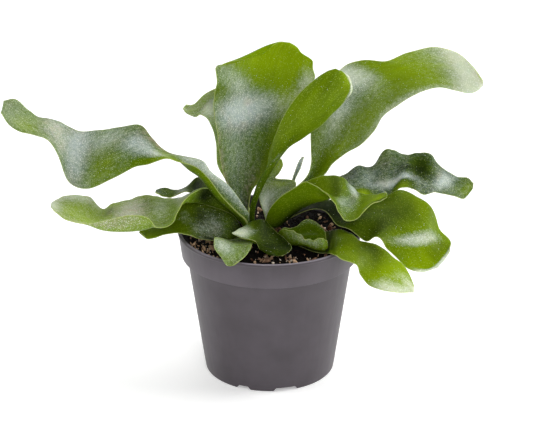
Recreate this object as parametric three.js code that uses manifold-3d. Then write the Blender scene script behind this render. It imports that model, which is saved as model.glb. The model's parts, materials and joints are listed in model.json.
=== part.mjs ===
// Potted staghorn fern: grey plastic nursery pot, potting mix, rhizome and sixteen fronds.
// Millimetres, +Z up, the pot's feet stand on z = 0.
import * as THREE from 'three';
import { mergeVertices } from 'three/addons/utils/BufferGeometryUtils.js';
import Module from 'manifold-3d';

const wasm = await Module();
wasm.setup();

const clearance = 0.35; // between pieces that touch
const sleeveGap = 0.7; // round a stem in its hole

// Pot sizes
const rimHeight = 98.5;
const rimRadius = 60.5;
const collarFoot = 81; // height where the collar steps out from the body
const collarFootRadius = 58;
const bodyTopRadius = 54.6;
const bodyFootRadius = 43;
const wall = 1.2;
const footHeight = 2.6;
const footWidth = 3.4;
const cornerRadius = 2.4;
const lipWidth = 2.2;
const footBevel = 0.8;
const edgeRound = 0.4; // along the collar's foot
const lipRound = 0.5;
const beadHeight = 1.8; // how far below the rim the lip's outer bead starts
const potSides = 48;
const footPairs = 3; // each pair has one wide and one narrow notch
const wideNotch = 17; // degrees
const narrowNotch = 8.7;
const wideNotchMiddle = 14.2; // degrees from the front towards the right
const narrowNotchMiddle = -23.6;
const notchSlope = 0.7; // sideways for each millimetre down
const drainRadius = 5;
const drainCircle = 27;
const drainSides = 20;

// Potting mix sizes
const soilEdge = 91;
const soilMound = 1.5; // how much higher it lies at the middle
const crumbHeight = 0.7;
const crumbFade = 8; // width of the smooth band along the wall
const soilSides = 48;
const soilRings = 9;

// Rhizome sizes
const rhizomeMiddle = new THREE.Vector3(-6, 5, 89.5);
const rhizomeHalf = new THREE.Vector3(16, 18, 7.5);
const knobHeight = 0.05; // as a part of its half width
const knobsRound = 7;
const rhizomeSides = 28;

// The fronds' points are given as the photo shows them: millimetres to the right of the pot's
// axis, millimetres above the point looked at, and depth behind the axis, a true distance.
const viewTilt = THREE.MathUtils.degToRad(22.5);
const viewDistance = 1300;
const viewHeight = 107.8; // height on the axis of the point looked at
const stepsPerRow = 2; // mesh lines for each row of points
const stemRows = 3; // rows over which a stem thins, and that its hole follows
const bladeThick = 1;
const edgePart = 0.75; // of the thickness is left at a blade's edges
const waveStart = 0.15; // part of the length where the ruffle starts, and where it is full
const waveFull = 0.5;
const waveLag = 1.4; // radians by which one edge's ruffle runs behind the middle

const colours = {
  pot: '#5a565b',
  soil: '#3b2a1e',
  rhizome: '#5b4630',
  silverFrond: '#7f9a80',
  greenFrond: '#7ba23c',
};

// The spot in space that the photo shows at (across, up), at the given depth.
function spot([across, up, depth]) {
  const sine = Math.sin(viewTilt);
  const cosine = Math.cos(viewTilt);
  const away = (depth - up * sine) / (cosine + (up * sine) / viewDistance);
  const spread = 1 + away / viewDistance;
  return new THREE.Vector3(across * spread, depth, viewHeight + up * spread * cosine - away * sine);
}

// A closed solid from a geometry, which loses its normals so that all its corners join.
function solidFrom(geometry) {
  geometry.deleteAttribute('normal');
  geometry.deleteAttribute('uv');
  const merged = mergeVertices(geometry, 1e-4);
  return new wasm.Manifold(
    new wasm.Mesh({
      numProp: 3,
      vertProperties: new Float32Array(merged.attributes.position.array),
      triVerts: new Uint32Array(merged.index.array),
    }),
  );
}

function geometryFrom(solid) {
  const mesh = solid.getMesh();
  const geometry = new THREE.BufferGeometry();
  geometry.setAttribute('position', new THREE.BufferAttribute(mesh.vertProperties, 3));
  geometry.setIndex(new THREE.BufferAttribute(mesh.triVerts, 1));
  geometry.computeVertexNormals();
  return geometry;
}

function piece(name, solid, colour, roughness) {
  const material = new THREE.MeshStandardMaterial({ color: colour, roughness, metalness: 0 });
  const mesh = new THREE.Mesh(geometryFrom(solid), material);
  mesh.name = name;
  return mesh;
}

function turned(profile, sides) {
  const points = profile.map(([radius, height]) => new THREE.Vector2(radius, height));
  return new THREE.LatheGeometry(points, sides).rotateX(Math.PI / 2);
}

// A point at a distance from the axis, turned in degrees from the front towards the right.
function around(degrees, radius) {
  const angle = THREE.MathUtils.degToRad(degrees - 90);
  return new THREE.Vector2(radius * Math.cos(angle), radius * Math.sin(angle));
}

// A wedge across the foot ring that cuts one gap between the feet, wider towards the ground.
function notch(middle, width) {
  const margin = 4;
  const top = bodyFootRadius * Math.tan(THREE.MathUtils.degToRad(width / 2));
  const foot = top + (footHeight + margin) * notchSlope;
  const shape = new THREE.Shape([
    new THREE.Vector2(-top, footHeight),
    new THREE.Vector2(-foot, -margin),
    new THREE.Vector2(foot, -margin),
    new THREE.Vector2(top, footHeight),
  ]);
  const depth = footWidth + 2 * margin;
  const block = new THREE.ExtrudeGeometry(shape, { depth, bevelEnabled: false });
  block.rotateX(Math.PI / 2).translate(0, margin - bodyFootRadius + footWidth, 0);
  return solidFrom(block.rotateZ(THREE.MathUtils.degToRad(middle)));
}

// Inner radius of the body's tapered wall at a height, and of the collar's above it.
function innerRadius(height) {
  return THREE.MathUtils.mapLinear(height, 0, collarFoot, bodyFootRadius, bodyTopRadius) - wall;
}

const ledgeHeight = collarFoot + wall; // the step inside the collar
const collarInner = collarFootRadius - wall;

function collarRadius(height) {
  const foot = ledgeHeight + edgeRound;
  const top = rimHeight - lipRound;
  return THREE.MathUtils.mapLinear(height, foot, top, collarInner, rimRadius - lipWidth);
}

function makePot() {
  const floorTop = footHeight + wall;
  const innerCorner = floorTop + cornerRadius;
  const profile = [
    [0, footHeight],
    [bodyFootRadius - footWidth, footHeight],
    [bodyFootRadius - footWidth, 0],
    [bodyFootRadius - footBevel, 0],
    [bodyFootRadius, footBevel],
    [bodyTopRadius, collarFoot],
    [collarFootRadius - edgeRound, collarFoot],
    [collarFootRadius, collarFoot + edgeRound],
    [rimRadius - lipRound, rimHeight - beadHeight],
    [rimRadius, rimHeight - beadHeight + lipRound],
    [rimRadius - lipRound / 2, rimHeight - lipRound / 2],
    [rimRadius - 2 * lipRound, rimHeight],
    [rimRadius - lipWidth + lipRound / 2, rimHeight],
    [rimRadius - lipWidth, rimHeight - lipRound],
    [collarInner, ledgeHeight + edgeRound],
    [innerRadius(collarFoot), ledgeHeight],
    [innerRadius(innerCorner), innerCorner],
    [innerRadius(floorTop) - cornerRadius, floorTop],
    [0, floorTop],
  ];
  let pot = solidFrom(turned(profile, potSides));
  const drain = new THREE.CylinderGeometry(drainRadius, drainRadius, 4 * wall, drainSides);
  drain.rotateX(Math.PI / 2);
  for (let pair = 0; pair < footPairs; pair += 1) {
    const turn = (360 / footPairs) * pair;
    pot = pot.subtract(notch(turn + wideNotchMiddle, wideNotch));
    pot = pot.subtract(notch(turn + narrowNotchMiddle, narrowNotch));
    [0, 180 / footPairs].forEach((extra) => {
      const { x, y } = around(turn + wideNotchMiddle + extra, drainCircle);
      pot = pot.subtract(solidFrom(drain.clone().translate(x, y, footHeight + wall / 2)));
    });
  }
  return pot;
}

// Crumbly relief of the potting mix, fading out towards the wall. The factors set its grain.
function crumbs(x, y) {
  const fade = THREE.MathUtils.clamp((bodyTopRadius - Math.hypot(x, y)) / crumbFade, 0, 1);
  const coarse = Math.sin(x * 0.71 + 1.3) * Math.cos(y * 0.63 - 0.4);
  const fine = Math.sin(x * 1.57 - y * 1.13) * Math.cos(y * 1.91 + x * 0.37);
  return fade * crumbHeight * (coarse * 0.6 + fine * 0.4);
}

function makeSoil() {
  const floorTop = footHeight + wall + clearance;
  const innerCorner = floorTop + cornerRadius;
  const ledge = ledgeHeight + edgeRound + clearance;
  const edgeRadius = collarRadius(soilEdge) - clearance;
  const profile = [
    [0, floorTop],
    [innerRadius(floorTop) - cornerRadius - clearance, floorTop],
    [innerRadius(innerCorner) - clearance, innerCorner],
    [innerRadius(collarFoot) - clearance, ledge],
    [collarInner - clearance, ledge],
    [edgeRadius, soilEdge],
  ];
  for (let ring = 1; ring <= soilRings; ring += 1) {
    const part = 1 - ring / soilRings;
    profile.push([edgeRadius * part, soilEdge + soilMound * (1 - part * part)]);
  }
  const geometry = turned(profile, soilSides);
  const position = geometry.attributes.position;
  for (let index = 0; index < position.count; index += 1) {
    if (position.getZ(index) >= soilEdge) {
      const relief = crumbs(position.getX(index), position.getY(index));
      position.setZ(index, position.getZ(index) + relief);
    }
  }
  return solidFrom(geometry);
}

// The low knobbly mound that all fronds grow from; extra makes it larger, for its hole.
function makeRhizome(extra) {
  const geometry = new THREE.SphereGeometry(1, rhizomeSides, rhizomeSides / 2).rotateX(Math.PI / 2);
  const position = geometry.attributes.position;
  const point = new THREE.Vector3();
  for (let index = 0; index < position.count; index += 1) {
    point.fromBufferAttribute(position, index);
    const side = Math.hypot(point.x, point.y);
    const knob = Math.sin(Math.atan2(point.y, point.x) * knobsRound) * Math.sin(point.z * 6 + 1);
    point.multiplyScalar(1 + knobHeight * side * knob);
    point.x *= rhizomeHalf.x + extra;
    point.y *= rhizomeHalf.y + extra;
    point.z *= rhizomeHalf.z + extra;
    point.add(rhizomeMiddle);
    position.setXYZ(index, point.x, point.y, point.z);
  }
  return solidFrom(geometry);
}

function smoothLine(points) {
  return new THREE.CatmullRomCurve3(points, false, 'catmullrom');
}

// Points of a blade's middle surface, smooth through its rows from root to tip, each row from
// one edge to the other. The edges are ruffled by a wave.
function bladeGrid(rows, { across, waves, ruffle }) {
  const along = (rows.length - 1) * stepsPerRow;
  const rails = rows[0].map((_, column) => smoothLine(rows.map((row) => spot(row[column]))));
  const grid = [];
  for (let step = 0; step <= along; step += 1) {
    const line = smoothLine(rails.map((rail) => rail.getPoint(step / along)));
    grid.push(line.getPoints(across));
  }
  const normals = gridNormals(grid);
  return grid.map((line, step) =>
    line.map((point, column) => {
      const out = (2 * column) / across - 1;
      const grow = THREE.MathUtils.smoothstep(step / along, waveStart, waveFull);
      const wave = Math.sin(2 * Math.PI * waves * (step / along) + out * waveLag);
      return point.clone().addScaledVector(normals[step][column], ruffle * grow * wave * out ** 4);
    }),
  );
}

function gridNormals(grid) {
  const last = grid.length - 1;
  const edge = grid[0].length - 1;
  return grid.map((line, step) =>
    line.map((_, column) => {
      const before = grid[Math.max(step - 1, 0)][column];
      const after = grid[Math.min(step + 1, last)][column];
      const left = line[Math.max(column - 1, 0)];
      const right = line[Math.min(column + 1, edge)];
      const alongWay = after.clone().sub(before);
      const acrossWay = right.clone().sub(left);
      return alongWay.cross(acrossWay).normalize();
    }),
  );
}

// Gives a grid its thickness and closes it round its edges. Both faces are split alike.
function gridSolid(grid, thickness) {
  const normals = gridNormals(grid);
  const lines = grid.length;
  const columns = grid[0].length;
  const vertices = [];
  [0.5, -0.5].forEach((side) => {
    grid.forEach((line, step) => {
      line.forEach((point, column) => {
        const offset = side * thickness(step, column);
        const moved = point.clone().addScaledVector(normals[step][column], offset);
        vertices.push(moved.x, moved.y, moved.z);
      });
    });
  });
  const front = (step, column) => step * columns + column;
  const back = (step, column) => (lines + step) * columns + column;
  const triangles = [];
  const quad = (a, b, c, d) => triangles.push(a, b, c, a, c, d);
  const lastLine = lines - 1;
  const lastColumn = columns - 1;
  for (let step = 0; step < lastLine; step += 1) {
    const next = step + 1;
    for (let column = 0; column < lastColumn; column += 1) {
      const beside = column + 1;
      quad(front(step, column), front(next, column), front(next, beside), front(step, beside));
      quad(back(next, beside), back(next, column), back(step, column), back(step, beside));
    }
    quad(front(step, 0), back(step, 0), back(next, 0), front(next, 0));
    quad(back(step, lastColumn), front(step, lastColumn), front(next, lastColumn), back(next, lastColumn));
  }
  for (let column = 0; column < lastColumn; column += 1) {
    const beside = column + 1;
    quad(back(0, column), front(0, column), front(0, beside), back(0, beside));
    quad(front(lastLine, column), back(lastLine, column), back(lastLine, beside), front(lastLine, beside));
  }
  const geometry = new THREE.BufferGeometry();
  geometry.setAttribute('position', new THREE.Float32BufferAttribute(vertices, 3));
  geometry.setIndex(triangles);
  return solidFrom(geometry);
}

// Thick at the stem, thin over the blade, thinner still at its edges.
function bladeThickness(frond, grid) {
  const stemLines = stemRows * stepsPerRow;
  const edge = grid[0].length - 1;
  return (step, column) => {
    const thick = THREE.MathUtils.lerp(frond.stem, bladeThick, Math.min(step / stemLines, 1));
    return column === 0 || column === edge ? thick * edgePart : thick;
  };
}

function makeFrond(frond) {
  const grid = bladeGrid(frond.rows, frond);
  let solid = gridSolid(grid, bladeThickness(frond, grid));
  if (frond.fork) {
    const forkGrid = bladeGrid(frond.fork, { ...frond, ruffle: 0 });
    solid = solid.add(gridSolid(forkGrid, () => bladeThick));
  }
  return solid;
}

// The hole that a frond's stem stands in: its lower stretch, larger all round.
function makeSleeve(frond) {
  const stemLines = stemRows * stepsPerRow;
  const grid = bladeGrid(frond.rows, { ...frond, across: 3 }).slice(0, stemLines + 1);
  const edge = grid[0].length - 1;
  const wider = grid.map((line) => {
    const side = line[edge].clone().sub(line[0]).normalize();
    return line.map((point, column) => {
      const out = (2 * column) / edge - 1;
      return point.clone().addScaledVector(side, out * sleeveGap);
    });
  });
  const down = wider[0][0].clone().sub(wider[1][0]).normalize();
  wider[0].forEach((point) => point.addScaledVector(down, 2 * sleeveGap));
  const thickness = bladeThickness(frond, grid);
  return gridSolid(wider, (step) => thickness(step, 1) + 2 * sleeveGap);
}

// Each frond's rows run from root to tip. across is how many strips its blade is split into,
// stem its thickness at the root, and ruffle the height of the waves along its edges.

const frondUpperLeft = {
  name: 'frond_upper_left',
  across: 4,
  stem: 2.2,
  waves: 5,
  ruffle: 0.8,
  rows: [
    [[-13, -15.5, -6], [-14, -16.5, -4], [-13, -15.5, -2]],
    [[-15, -4.5, -8], [-17, -4.5, -5], [-12.5, -2.5, -1]],
    [[-22, 2.5, -9], [-24, 2, -5], [-17, 6, 0]],
    [[-31.5, 12.5, -11], [-35, 12, -6], [-26.5, 19, 1]],
    [[-40.5, 24.5, -12], [-45.5, 24.5, -6], [-38, 28, 2]],
    [[-49, 32, -13], [-53, 30, -6], [-44, 35.5, 2]],
    [[-60, 35, -14], [-61.5, 37.5, -6], [-55, 38, 3]],
    [[-68, 36.5, -15], [-69.5, 39.5, -6], [-66.5, 41.5, 4]],
    [[-78.5, 33.5, -15], [-80, 44, -5], [-77, 50.5, 7]],
    [[-89, 31.5, -15], [-92.5, 46, -4], [-85, 58.5, 9]],
    [[-103.5, 23.5, -15], [-106, 41.5, -3], [-99, 57.5, 11]],
    [[-119, 17, -14], [-118, 37.5, -1], [-112.5, 56, 13]],
    [[-131, 21, -12], [-129, 41.5, 1], [-125, 55, 14]],
    [[-136.5, 34, -9], [-135.5, 48, 3], [-133.5, 58.5, 15]],
    [[-144, 47, -5], [-144, 56.5, 4], [-141.5, 63, 16]],
    [[-153.5, 52, -2], [-152.5, 59, 6], [-152, 65, 16]],
    [[-164, 55, 1], [-162, 63, 8], [-159, 69, 15]],
    [[-171, 59, 4], [-169.5, 67.5, 9], [-167, 76, 14]],
    [[-176.5, 67, 8], [-175.5, 70, 10], [-174.5, 75, 12]],
  ],
};

const frondLowerLeft = {
  name: 'frond_lower_left',
  across: 6,
  stem: 2.0,
  waves: 6,
  ruffle: 0.5,
  rows: [
    [[-15, -13, 3], [-15.5, -13.5, 4.5], [-15.5, -13, 5.5], [-15, -13, 7]],
    [[-17, -4, 3], [-18, -5, 4.5], [-17.5, -4.5, 6.5], [-15.5, -2, 9]],
    [[-24.5, 6, 1], [-28, 0.5, 2], [-26, 2, 5], [-22, 6, 9]],
    [[-33.5, 14.5, 0], [-38.5, 6, -3], [-36, 7, 3], [-31.5, 12.5, 9]],
    [[-42, 17.5, -5], [-45.5, 8.2, -12.5], [-43, 12, -1], [-39, 17, 7]],
    [[-48.5, 15.5, -18], [-52.5, 8.6, -22], [-50.5, 13, -7], [-45.5, 17.5, 4]],
    [[-55.5, 10, -27], [-57, 7.5, -26], [-56, 10.5, -12], [-52.5, 14.5, 2]],
    [[-61, 1.5, -33], [-61.5, 2, -26], [-62, 7, -13], [-59.5, 11, 2]],
    [[-64.5, -6.5, -35], [-67.5, -4.5, -27], [-68, 5, -13], [-66.5, 11, 3]],
    [[-73.5, -8.5, -37], [-74.5, -6, -28], [-75, 4.5, -13], [-74.5, 12.5, 3]],
    [[-80, -1.5, -40], [-81, -9, -36], [-83, 2, -16], [-83, 12.5, 3]],
    [[-90.5, -0.5, -42], [-91, -10.5, -38], [-92.5, 1.5, -16], [-91.5, 10.5, 2]],
    [[-103.5, -2.5, -42], [-103, -10.5, -40], [-103, 0.5, -17], [-102, 8, 1]],
    [[-112.5, -4.5, -38], [-112, -9, -38], [-111.5, -2.5, -18], [-110, 3.5, 0]],
    [[-122, -6, -32], [-121, -5, -30], [-122, 1.5, -18], [-118, 12, -4]],
    [[-132.5, -3.5, -28], [-131.5, -0.5, -24], [-131.5, 5, -16], [-129.5, 13, -4]],
    [[-141, 2.5, -24], [-140, 4, -20], [-139.5, 6.5, -15], [-137.5, 11, -6]],
    [[-143.5, 5, -20], [-143.5, 6, -18], [-143.5, 7, -15], [-142, 9, -10]],
  ],
};

const frondLeftUnder = {
  name: 'frond_left_under',
  across: 4,
  stem: 2.0,
  waves: 3,
  ruffle: 0.6,
  rows: [
    [[-17, -18.5, -10], [-17.5, -18, -8.5], [-17, -17.5, -7]],
    [[-19.5, -14.5, -13], [-21, -12, -11], [-19, -8.5, -8]],
    [[-25.5, -16.5, -18], [-26.5, -8.5, -13], [-24.5, 0, -6]],
    [[-34.5, -17, -22], [-36, -7, -14], [-36, 5, -7]],
    [[-44, -16, -24], [-45.5, -4.5, -14], [-46.5, 7.9, -6.8]],
    [[-53.5, -13, -25], [-56, -3.5, -14], [-56, 8.8, -4]],
    [[-64, -12.5, -25], [-66, -6.5, -14], [-65.5, 0.5, -4]],
    [[-75, -14.5, -24], [-76, -10.5, -15], [-75, -6.5, -6]],
    [[-80.5, -15.5, -20], [-82, -12.5, -14], [-82, -8.5, -8]],
    [[-85, -12, -16], [-85.5, -11, -14], [-85, -10, -12]],
  ],
};

const frondLeftBehind = {
  name: 'frond_left_behind',
  across: 4,
  stem: 2.0,
  waves: 3,
  ruffle: 0.5,
  rows: [
    [[-14, -9, 13], [-14, -8.5, 15], [-13.5, -8.5, 17]],
    [[-22, -1.5, 15], [-21.5, 0, 19], [-20, 1.5, 22]],
    [[-31.5, 7, 16], [-31.5, 10, 22], [-29.5, 12.5, 28]],
    [[-40, 12.5, 17], [-40, 16.5, 25], [-38.5, 20.5, 33]],
    [[-48.5, 14, 17], [-48.5, 18.5, 27], [-46.5, 24.5, 37]],
    [[-55.5, 15, 18], [-56, 16.5, 28], [-55, 18.5, 37]],
    [[-63.5, 12, 19], [-63.5, 14.5, 28], [-62, 16.5, 36]],
    [[-70.5, 12.5, 22], [-70.5, 15.5, 28], [-70, 17.5, 34]],
    [[-75, 14.5, 25], [-75, 15, 27], [-74.5, 16.5, 29]],
  ],
};

const frondFrontLeft = {
  name: 'frond_front_left',
  across: 4,
  stem: 1.8,
  waves: 2,
  ruffle: 0.4,
  rows: [
    [[-14, -18.5, -12], [-13, -18.5, -12.5], [-11.5, -18.5, -12]],
    [[-18, -15.5, -20], [-15.5, -15, -19], [-13, -15.5, -19]],
    [[-26.5, -17, -29], [-21.5, -16.5, -28], [-15.5, -17, -27]],
    [[-35, -14.5, -40], [-24, -18.5, -38], [-11.5, -16.5, -33]],
    [[-36.5, -17, -44], [-24.5, -21.5, -47], [-11.5, -19.5, -42]],
    [[-36, -22.5, -51], [-24.5, -26, -55], [-13.5, -23.5, -51]],
    [[-32, -27.5, -57], [-24.5, -30, -60], [-17, -28, -57]],
    [[-28.5, -33, -61.5], [-25.5, -33.5, -62], [-22, -32, -61.5]],
  ],
};

const frondFrontCentre = {
  name: 'frond_front_centre',
  across: 4,
  stem: 1.8,
  waves: 2,
  ruffle: 0.4,
  rows: [
    [[-7.5, -17, -9], [-6.5, -17, -9.5], [-4.5, -17, -9]],
    [[-9, -10.5, -11], [-7, -10.5, -12], [-4.5, -10.5, -11]],
    [[-11, -4.5, -13], [-7, -3.5, -15], [-3, -4, -13]],
    [[-16, -7, -18], [-7.5, -6.5, -21], [0, -6.5, -18]],
    [[-22, -10, -30], [-8.5, -11, -29], [3, -10, -23]],
    [[-24.5, -12, -36], [-7.5, -15.5, -36], [7.5, -14, -29]],
    [[-17.5, -15.5, -39], [-5, -19, -41], [12, -17.5, -35]],
    [[-9.5, -17.5, -43], [-1, -21.5, -45], [14.5, -21, -40]],
    [[-6.5, -22.5, -45], [1.5, -24.5, -47], [12.5, -24.5, -44]],
    [[-1, -26, -47], [3.5, -27, -48], [8, -27, -47]],
  ],
};

const frondYoungCup = {
  name: 'frond_young_cup',
  across: 6,
  stem: 1.6,
  waves: 5,
  ruffle: 0.5,
  rows: [
    [[3, -16.5, -9], [2, -17, -10], [1.5, -18.5, -12], [1.8, -16.5, -12.5]],
    [[8.5, -8.6, -12], [7.8, -12.5, -12.5], [7, -13.2, -17], [7.6, -9.6, -18.5]],
    [[13, -8.6, -12.5], [12.4, -14, -14], [11.8, -18.4, -22], [12.2, -9.8, -24]],
    [[18, -7.2, -12.5], [17.7, -15, -15], [17.6, -19.6, -27], [17.7, -11.4, -29.5]],
    [[22.8, -3.2, -12], [22.8, -15, -15], [23.3, -20, -31], [23, -15.3, -34]],
    [[28.3, -3.4, -12], [28.5, -15, -15], [29, -22.2, -34.5], [28.6, -16.4, -36.5]],
    [[33.5, -7.2, -13], [33.7, -15.5, -16], [34.6, -23.4, -36.5], [34, -15, -37.5]],
    [[36.8, -11.5, -16], [37.2, -16.5, -20], [37.9, -21.5, -32], [37.2, -16.8, -33.5]],
  ],
};

const frondLowerRight = {
  name: 'frond_lower_right',
  across: 4,
  stem: 1.6,
  waves: 4,
  ruffle: 0.7,
  rows: [
    [[5, -18.5, -6], [5, -17.5, -4], [5.5, -17, -2]],
    [[8.5, -16.5, -8], [8.5, -14.5, -4], [9.5, -13, 0]],
    [[14, -18.5, -14], [14, -15, -6], [14.5, -12.5, 1]],
    [[22, -21.5, -22], [22, -17, -10], [22.5, -12, 1]],
    [[30.5, -24.5, -30], [30.5, -18.5, -15], [31, -11, 0]],
    [[37, -25.5, -36], [37, -19.5, -18], [37.5, -10.5, -2]],
    [[40, -25.5, -45], [41, -19, -25], [41, -10, -6]],
    [[43.5, -26, -50], [45, -18.5, -33], [45.5, -10, -13]],
    [[48.5, -30, -51], [51.5, -21, -39], [53.5, -12, -19]],
    [[56.5, -33, -51], [58.5, -24.5, -41], [60, -16.5, -26]],
    [[60, -39.5, -53], [64.5, -29.5, -43], [66.5, -18.5, -30]],
    [[66, -46.5, -55], [71.5, -35, -45], [73.5, -21.5, -32]],
    [[75.5, -50, -56], [79.5, -38.5, -46], [81.5, -27.5, -35]],
    [[85, -51, -54], [87, -42.5, -47], [89, -34, -39]],
    [[94.5, -50.5, -50], [94.5, -49, -49], [94.5, -46.5, -47]],
  ],
};

const frondRightArch = {
  name: 'frond_right_arch',
  across: 4,
  stem: 2.0,
  waves: 4,
  ruffle: 0.6,
  rows: [
    [[-5, -13, 1], [-4.5, -14, 3], [-3.5, -13, 5]],
    [[-3, -4, -3], [-1, -8, 1], [-1, -4.5, 5]],
    [[0, 4, -8], [5, -7.5, -3], [2, 3.5, 6]],
    [[7, 12, -12], [12.5, -2.2, -6], [8.5, 10.5, 6]],
    [[15.5, 17.5, -16], [20.5, 4, -9], [17.5, 16.5, 6]],
    [[23, 21.5, -20], [29, 8, -12], [26, 23, 6]],
    [[31, 18.5, -25], [36.5, 10, -14], [33.5, 25.5, 5]],
    [[37.5, 14.5, -30], [42, 12, -16], [41, 25.5, 4]],
    [[42, 8, -34], [47.5, 12, -18], [48, 24.5, 2]],
    [[45, 1.5, -37], [52.5, 8.5, -20], [54, 19.5, 0]],
    [[50.5, -3.5, -38], [58, 6, -21], [58.5, 14.5, -3]],
    [[58, -1.5, -36], [63, 8, -20], [64, 13, -6]],
    [[66, 6, -30], [69, 10.5, -20], [70.5, 14, -9]],
    [[72.5, 9, -24], [74.5, 12, -18], [75, 15.5, -12]],
    [[76.5, 12, -19], [77, 13, -17], [76.5, 14.5, -15]],
  ],
};

const frondRightBroad = {
  name: 'frond_right_broad',
  across: 4,
  stem: 2.0,
  waves: 4,
  ruffle: 0.8,
  rows: [
    [[0, -12, 7], [1, -11, 9], [1.5, -10.5, 11]],
    [[7, -6, 5], [7, -4, 9], [8, -2, 13]],
    [[17.5, 0, 2], [17.5, 2.5, 9], [18.5, 5, 15]],
    [[29, 4, -4], [29.5, 6.5, 6], [31, 9, 15]],
    [[37, 2, -10], [41, 6, 3], [44, 10, 15]],
    [[43.5, -6.5, -16], [50.5, 2, -2], [55.5, 11, 14]],
    [[54, -10, -21], [60.5, 1.5, -5], [66, 11, 13]],
    [[63, -17, -25], [71, -0.5, -8], [76.5, 12.5, 11]],
    [[71, -15, -27], [81.5, -2.5, -11], [86, 17, 9]],
    [[76.5, -21.5, -29], [90.5, -8.5, -15], [96, 12.5, 6]],
    [[83, -27.5, -30], [98.5, -15.5, -19], [106, 4.5, 2]],
    [[90, -35, -31], [105, -21.5, -21], [111.5, -8.5, -5]],
    [[100, -37.5, -30], [111, -27, -22], [118.5, -16.5, -12]],
    [[110.5, -34, -27], [115, -29, -23], [118.5, -23, -19]],
  ],
};

const frondRightWavy = {
  name: 'frond_right_wavy',
  across: 4,
  stem: 2.0,
  waves: 6,
  ruffle: 0.8,
  rows: [
    [[-1, -8.5, 15], [-0.5, -8, 17], [0, -7, 19]],
    [[7.5, -2, 17], [8, 0.5, 21], [9.5, 2, 25]],
    [[19, 5, 18], [20, 9, 25], [21, 12.5, 32]],
    [[33, 10.5, 18], [33.5, 15.5, 29], [35, 21, 38]],
    [[47.5, 14.5, 20], [48, 20.5, 33], [49.5, 27, 44]],
    [[57.5, 13, 21], [58, 23.5, 36], [57.5, 32, 48]],
    [[64.5, 11, 22], [66, 23.5, 38], [66.5, 32, 50]],
    [[72.5, 9, 22], [74.5, 27, 39], [74.5, 42, 52]],
    [[79.5, 10.5, 23], [81.5, 27.5, 40], [81, 42.5, 53]],
    [[86, 17.3, 25], [89, 31, 41], [89.5, 40, 53]],
    [[93.5, 17.8, 27], [95.5, 29.5, 42], [98, 40.5, 52]],
    [[101, 13, 30], [104, 27, 42], [106, 40, 51]],
    [[109, 15, 33], [112.5, 23, 43], [112.5, 31.5, 50]],
    [[118.5, 13, 37], [120, 19, 44], [122, 25.5, 49]],
    [[127, 10.5, 41], [128, 17, 45], [130, 24.5, 48]],
    [[132.5, 16.5, 45], [133.5, 18.5, 46], [133.5, 20.5, 47]],
  ],
};

const frondUpperRight = {
  name: 'frond_upper_right',
  across: 4,
  stem: 2.2,
  waves: 4,
  ruffle: 0.8,
  rows: [
    [[-3.5, -5, 21], [-2.5, -5, 22], [-1, -5, 21]],
    [[3, 4.5, 26], [5.5, 4.5, 28], [8, 4.5, 26]],
    [[13.5, 15, 33], [17.5, 15.5, 36], [21, 15.5, 32]],
    [[24, 25, 40], [29, 25.5, 44], [35, 25.5, 39]],
    [[27, 34, 45], [34.5, 34, 50], [41.5, 34, 44]],
    [[27, 44.5, 49], [38, 43.5, 55], [50, 40.5, 48]],
    [[27.5, 56, 52], [45, 53, 60], [60, 46, 52]],
    [[31.5, 70, 54], [50.5, 63.5, 64], [68.5, 55, 56]],
    [[37.5, 83.5, 55], [60, 74, 66], [74.5, 65, 60]],
    [[47, 96, 56], [69.5, 83.5, 68], [83.5, 71.5, 64]],
    [[60, 101, 58], [81.5, 91, 70], [93.5, 78, 67]],
    [[75.5, 101, 60], [94, 95, 71], [103, 82, 69]],
    [[90.5, 107, 62], [106.5, 96.5, 72], [112.5, 83.5, 71]],
    [[107, 110, 64], [119, 96, 73], [122, 81.5, 73]],
    [[121.5, 106.5, 67], [129.5, 94, 75], [131.5, 80, 75]],
    [[132.5, 98.5, 70], [136.5, 90.5, 76], [137.5, 82.5, 76]],
    [[139.5, 89, 74], [140, 86.5, 77], [139.5, 84, 77]],
  ],
};

const frondUprightStrap = {
  name: 'frond_upright_strap',
  across: 4,
  stem: 2.0,
  waves: 3,
  ruffle: 0.5,
  rows: [
    [[-9.5, -15.5, -2], [-8.5, -15.5, -3], [-7.5, -15.5, -2]],
    [[-12.5, -6, -3], [-11.5, -6, -4], [-10, -6, -3]],
    [[-13, 3.5, -4], [-11.3, 3.5, -5], [-9.6, 3.5, -4]],
    [[-11, 12, -6], [-9.2, 12, -8], [-7, 12.5, -6]],
    [[-7.6, 21.5, -7], [-4.8, 22.3, -10], [-1.8, 23, -8]],
    [[-1.8, 32, -9], [1, 33, -13], [5.6, 35, -9]],
    [[0, 42.5, -12], [4.6, 42.5, -17], [12, 44, -11]],
    [[3.5, 52, -16], [10.5, 52, -21], [22, 51, -14]],
    [[8.5, 63.5, -20], [19, 61.5, -25], [32.5, 57.5, -17]],
    [[14.5, 73.5, -23], [27, 71, -28], [42, 66.5, -20]],
    [[22, 82.5, -25], [34.5, 79.5, -30], [49.5, 75, -23]],
    [[29.5, 89, -26], [41, 86.5, -30], [54, 82, -25]],
    [[37, 94, -27], [45, 92, -29], [52.5, 90, -26]],
    [[43, 96, -27], [45.5, 95, -28], [48, 94, -27]],
  ],
};

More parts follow.
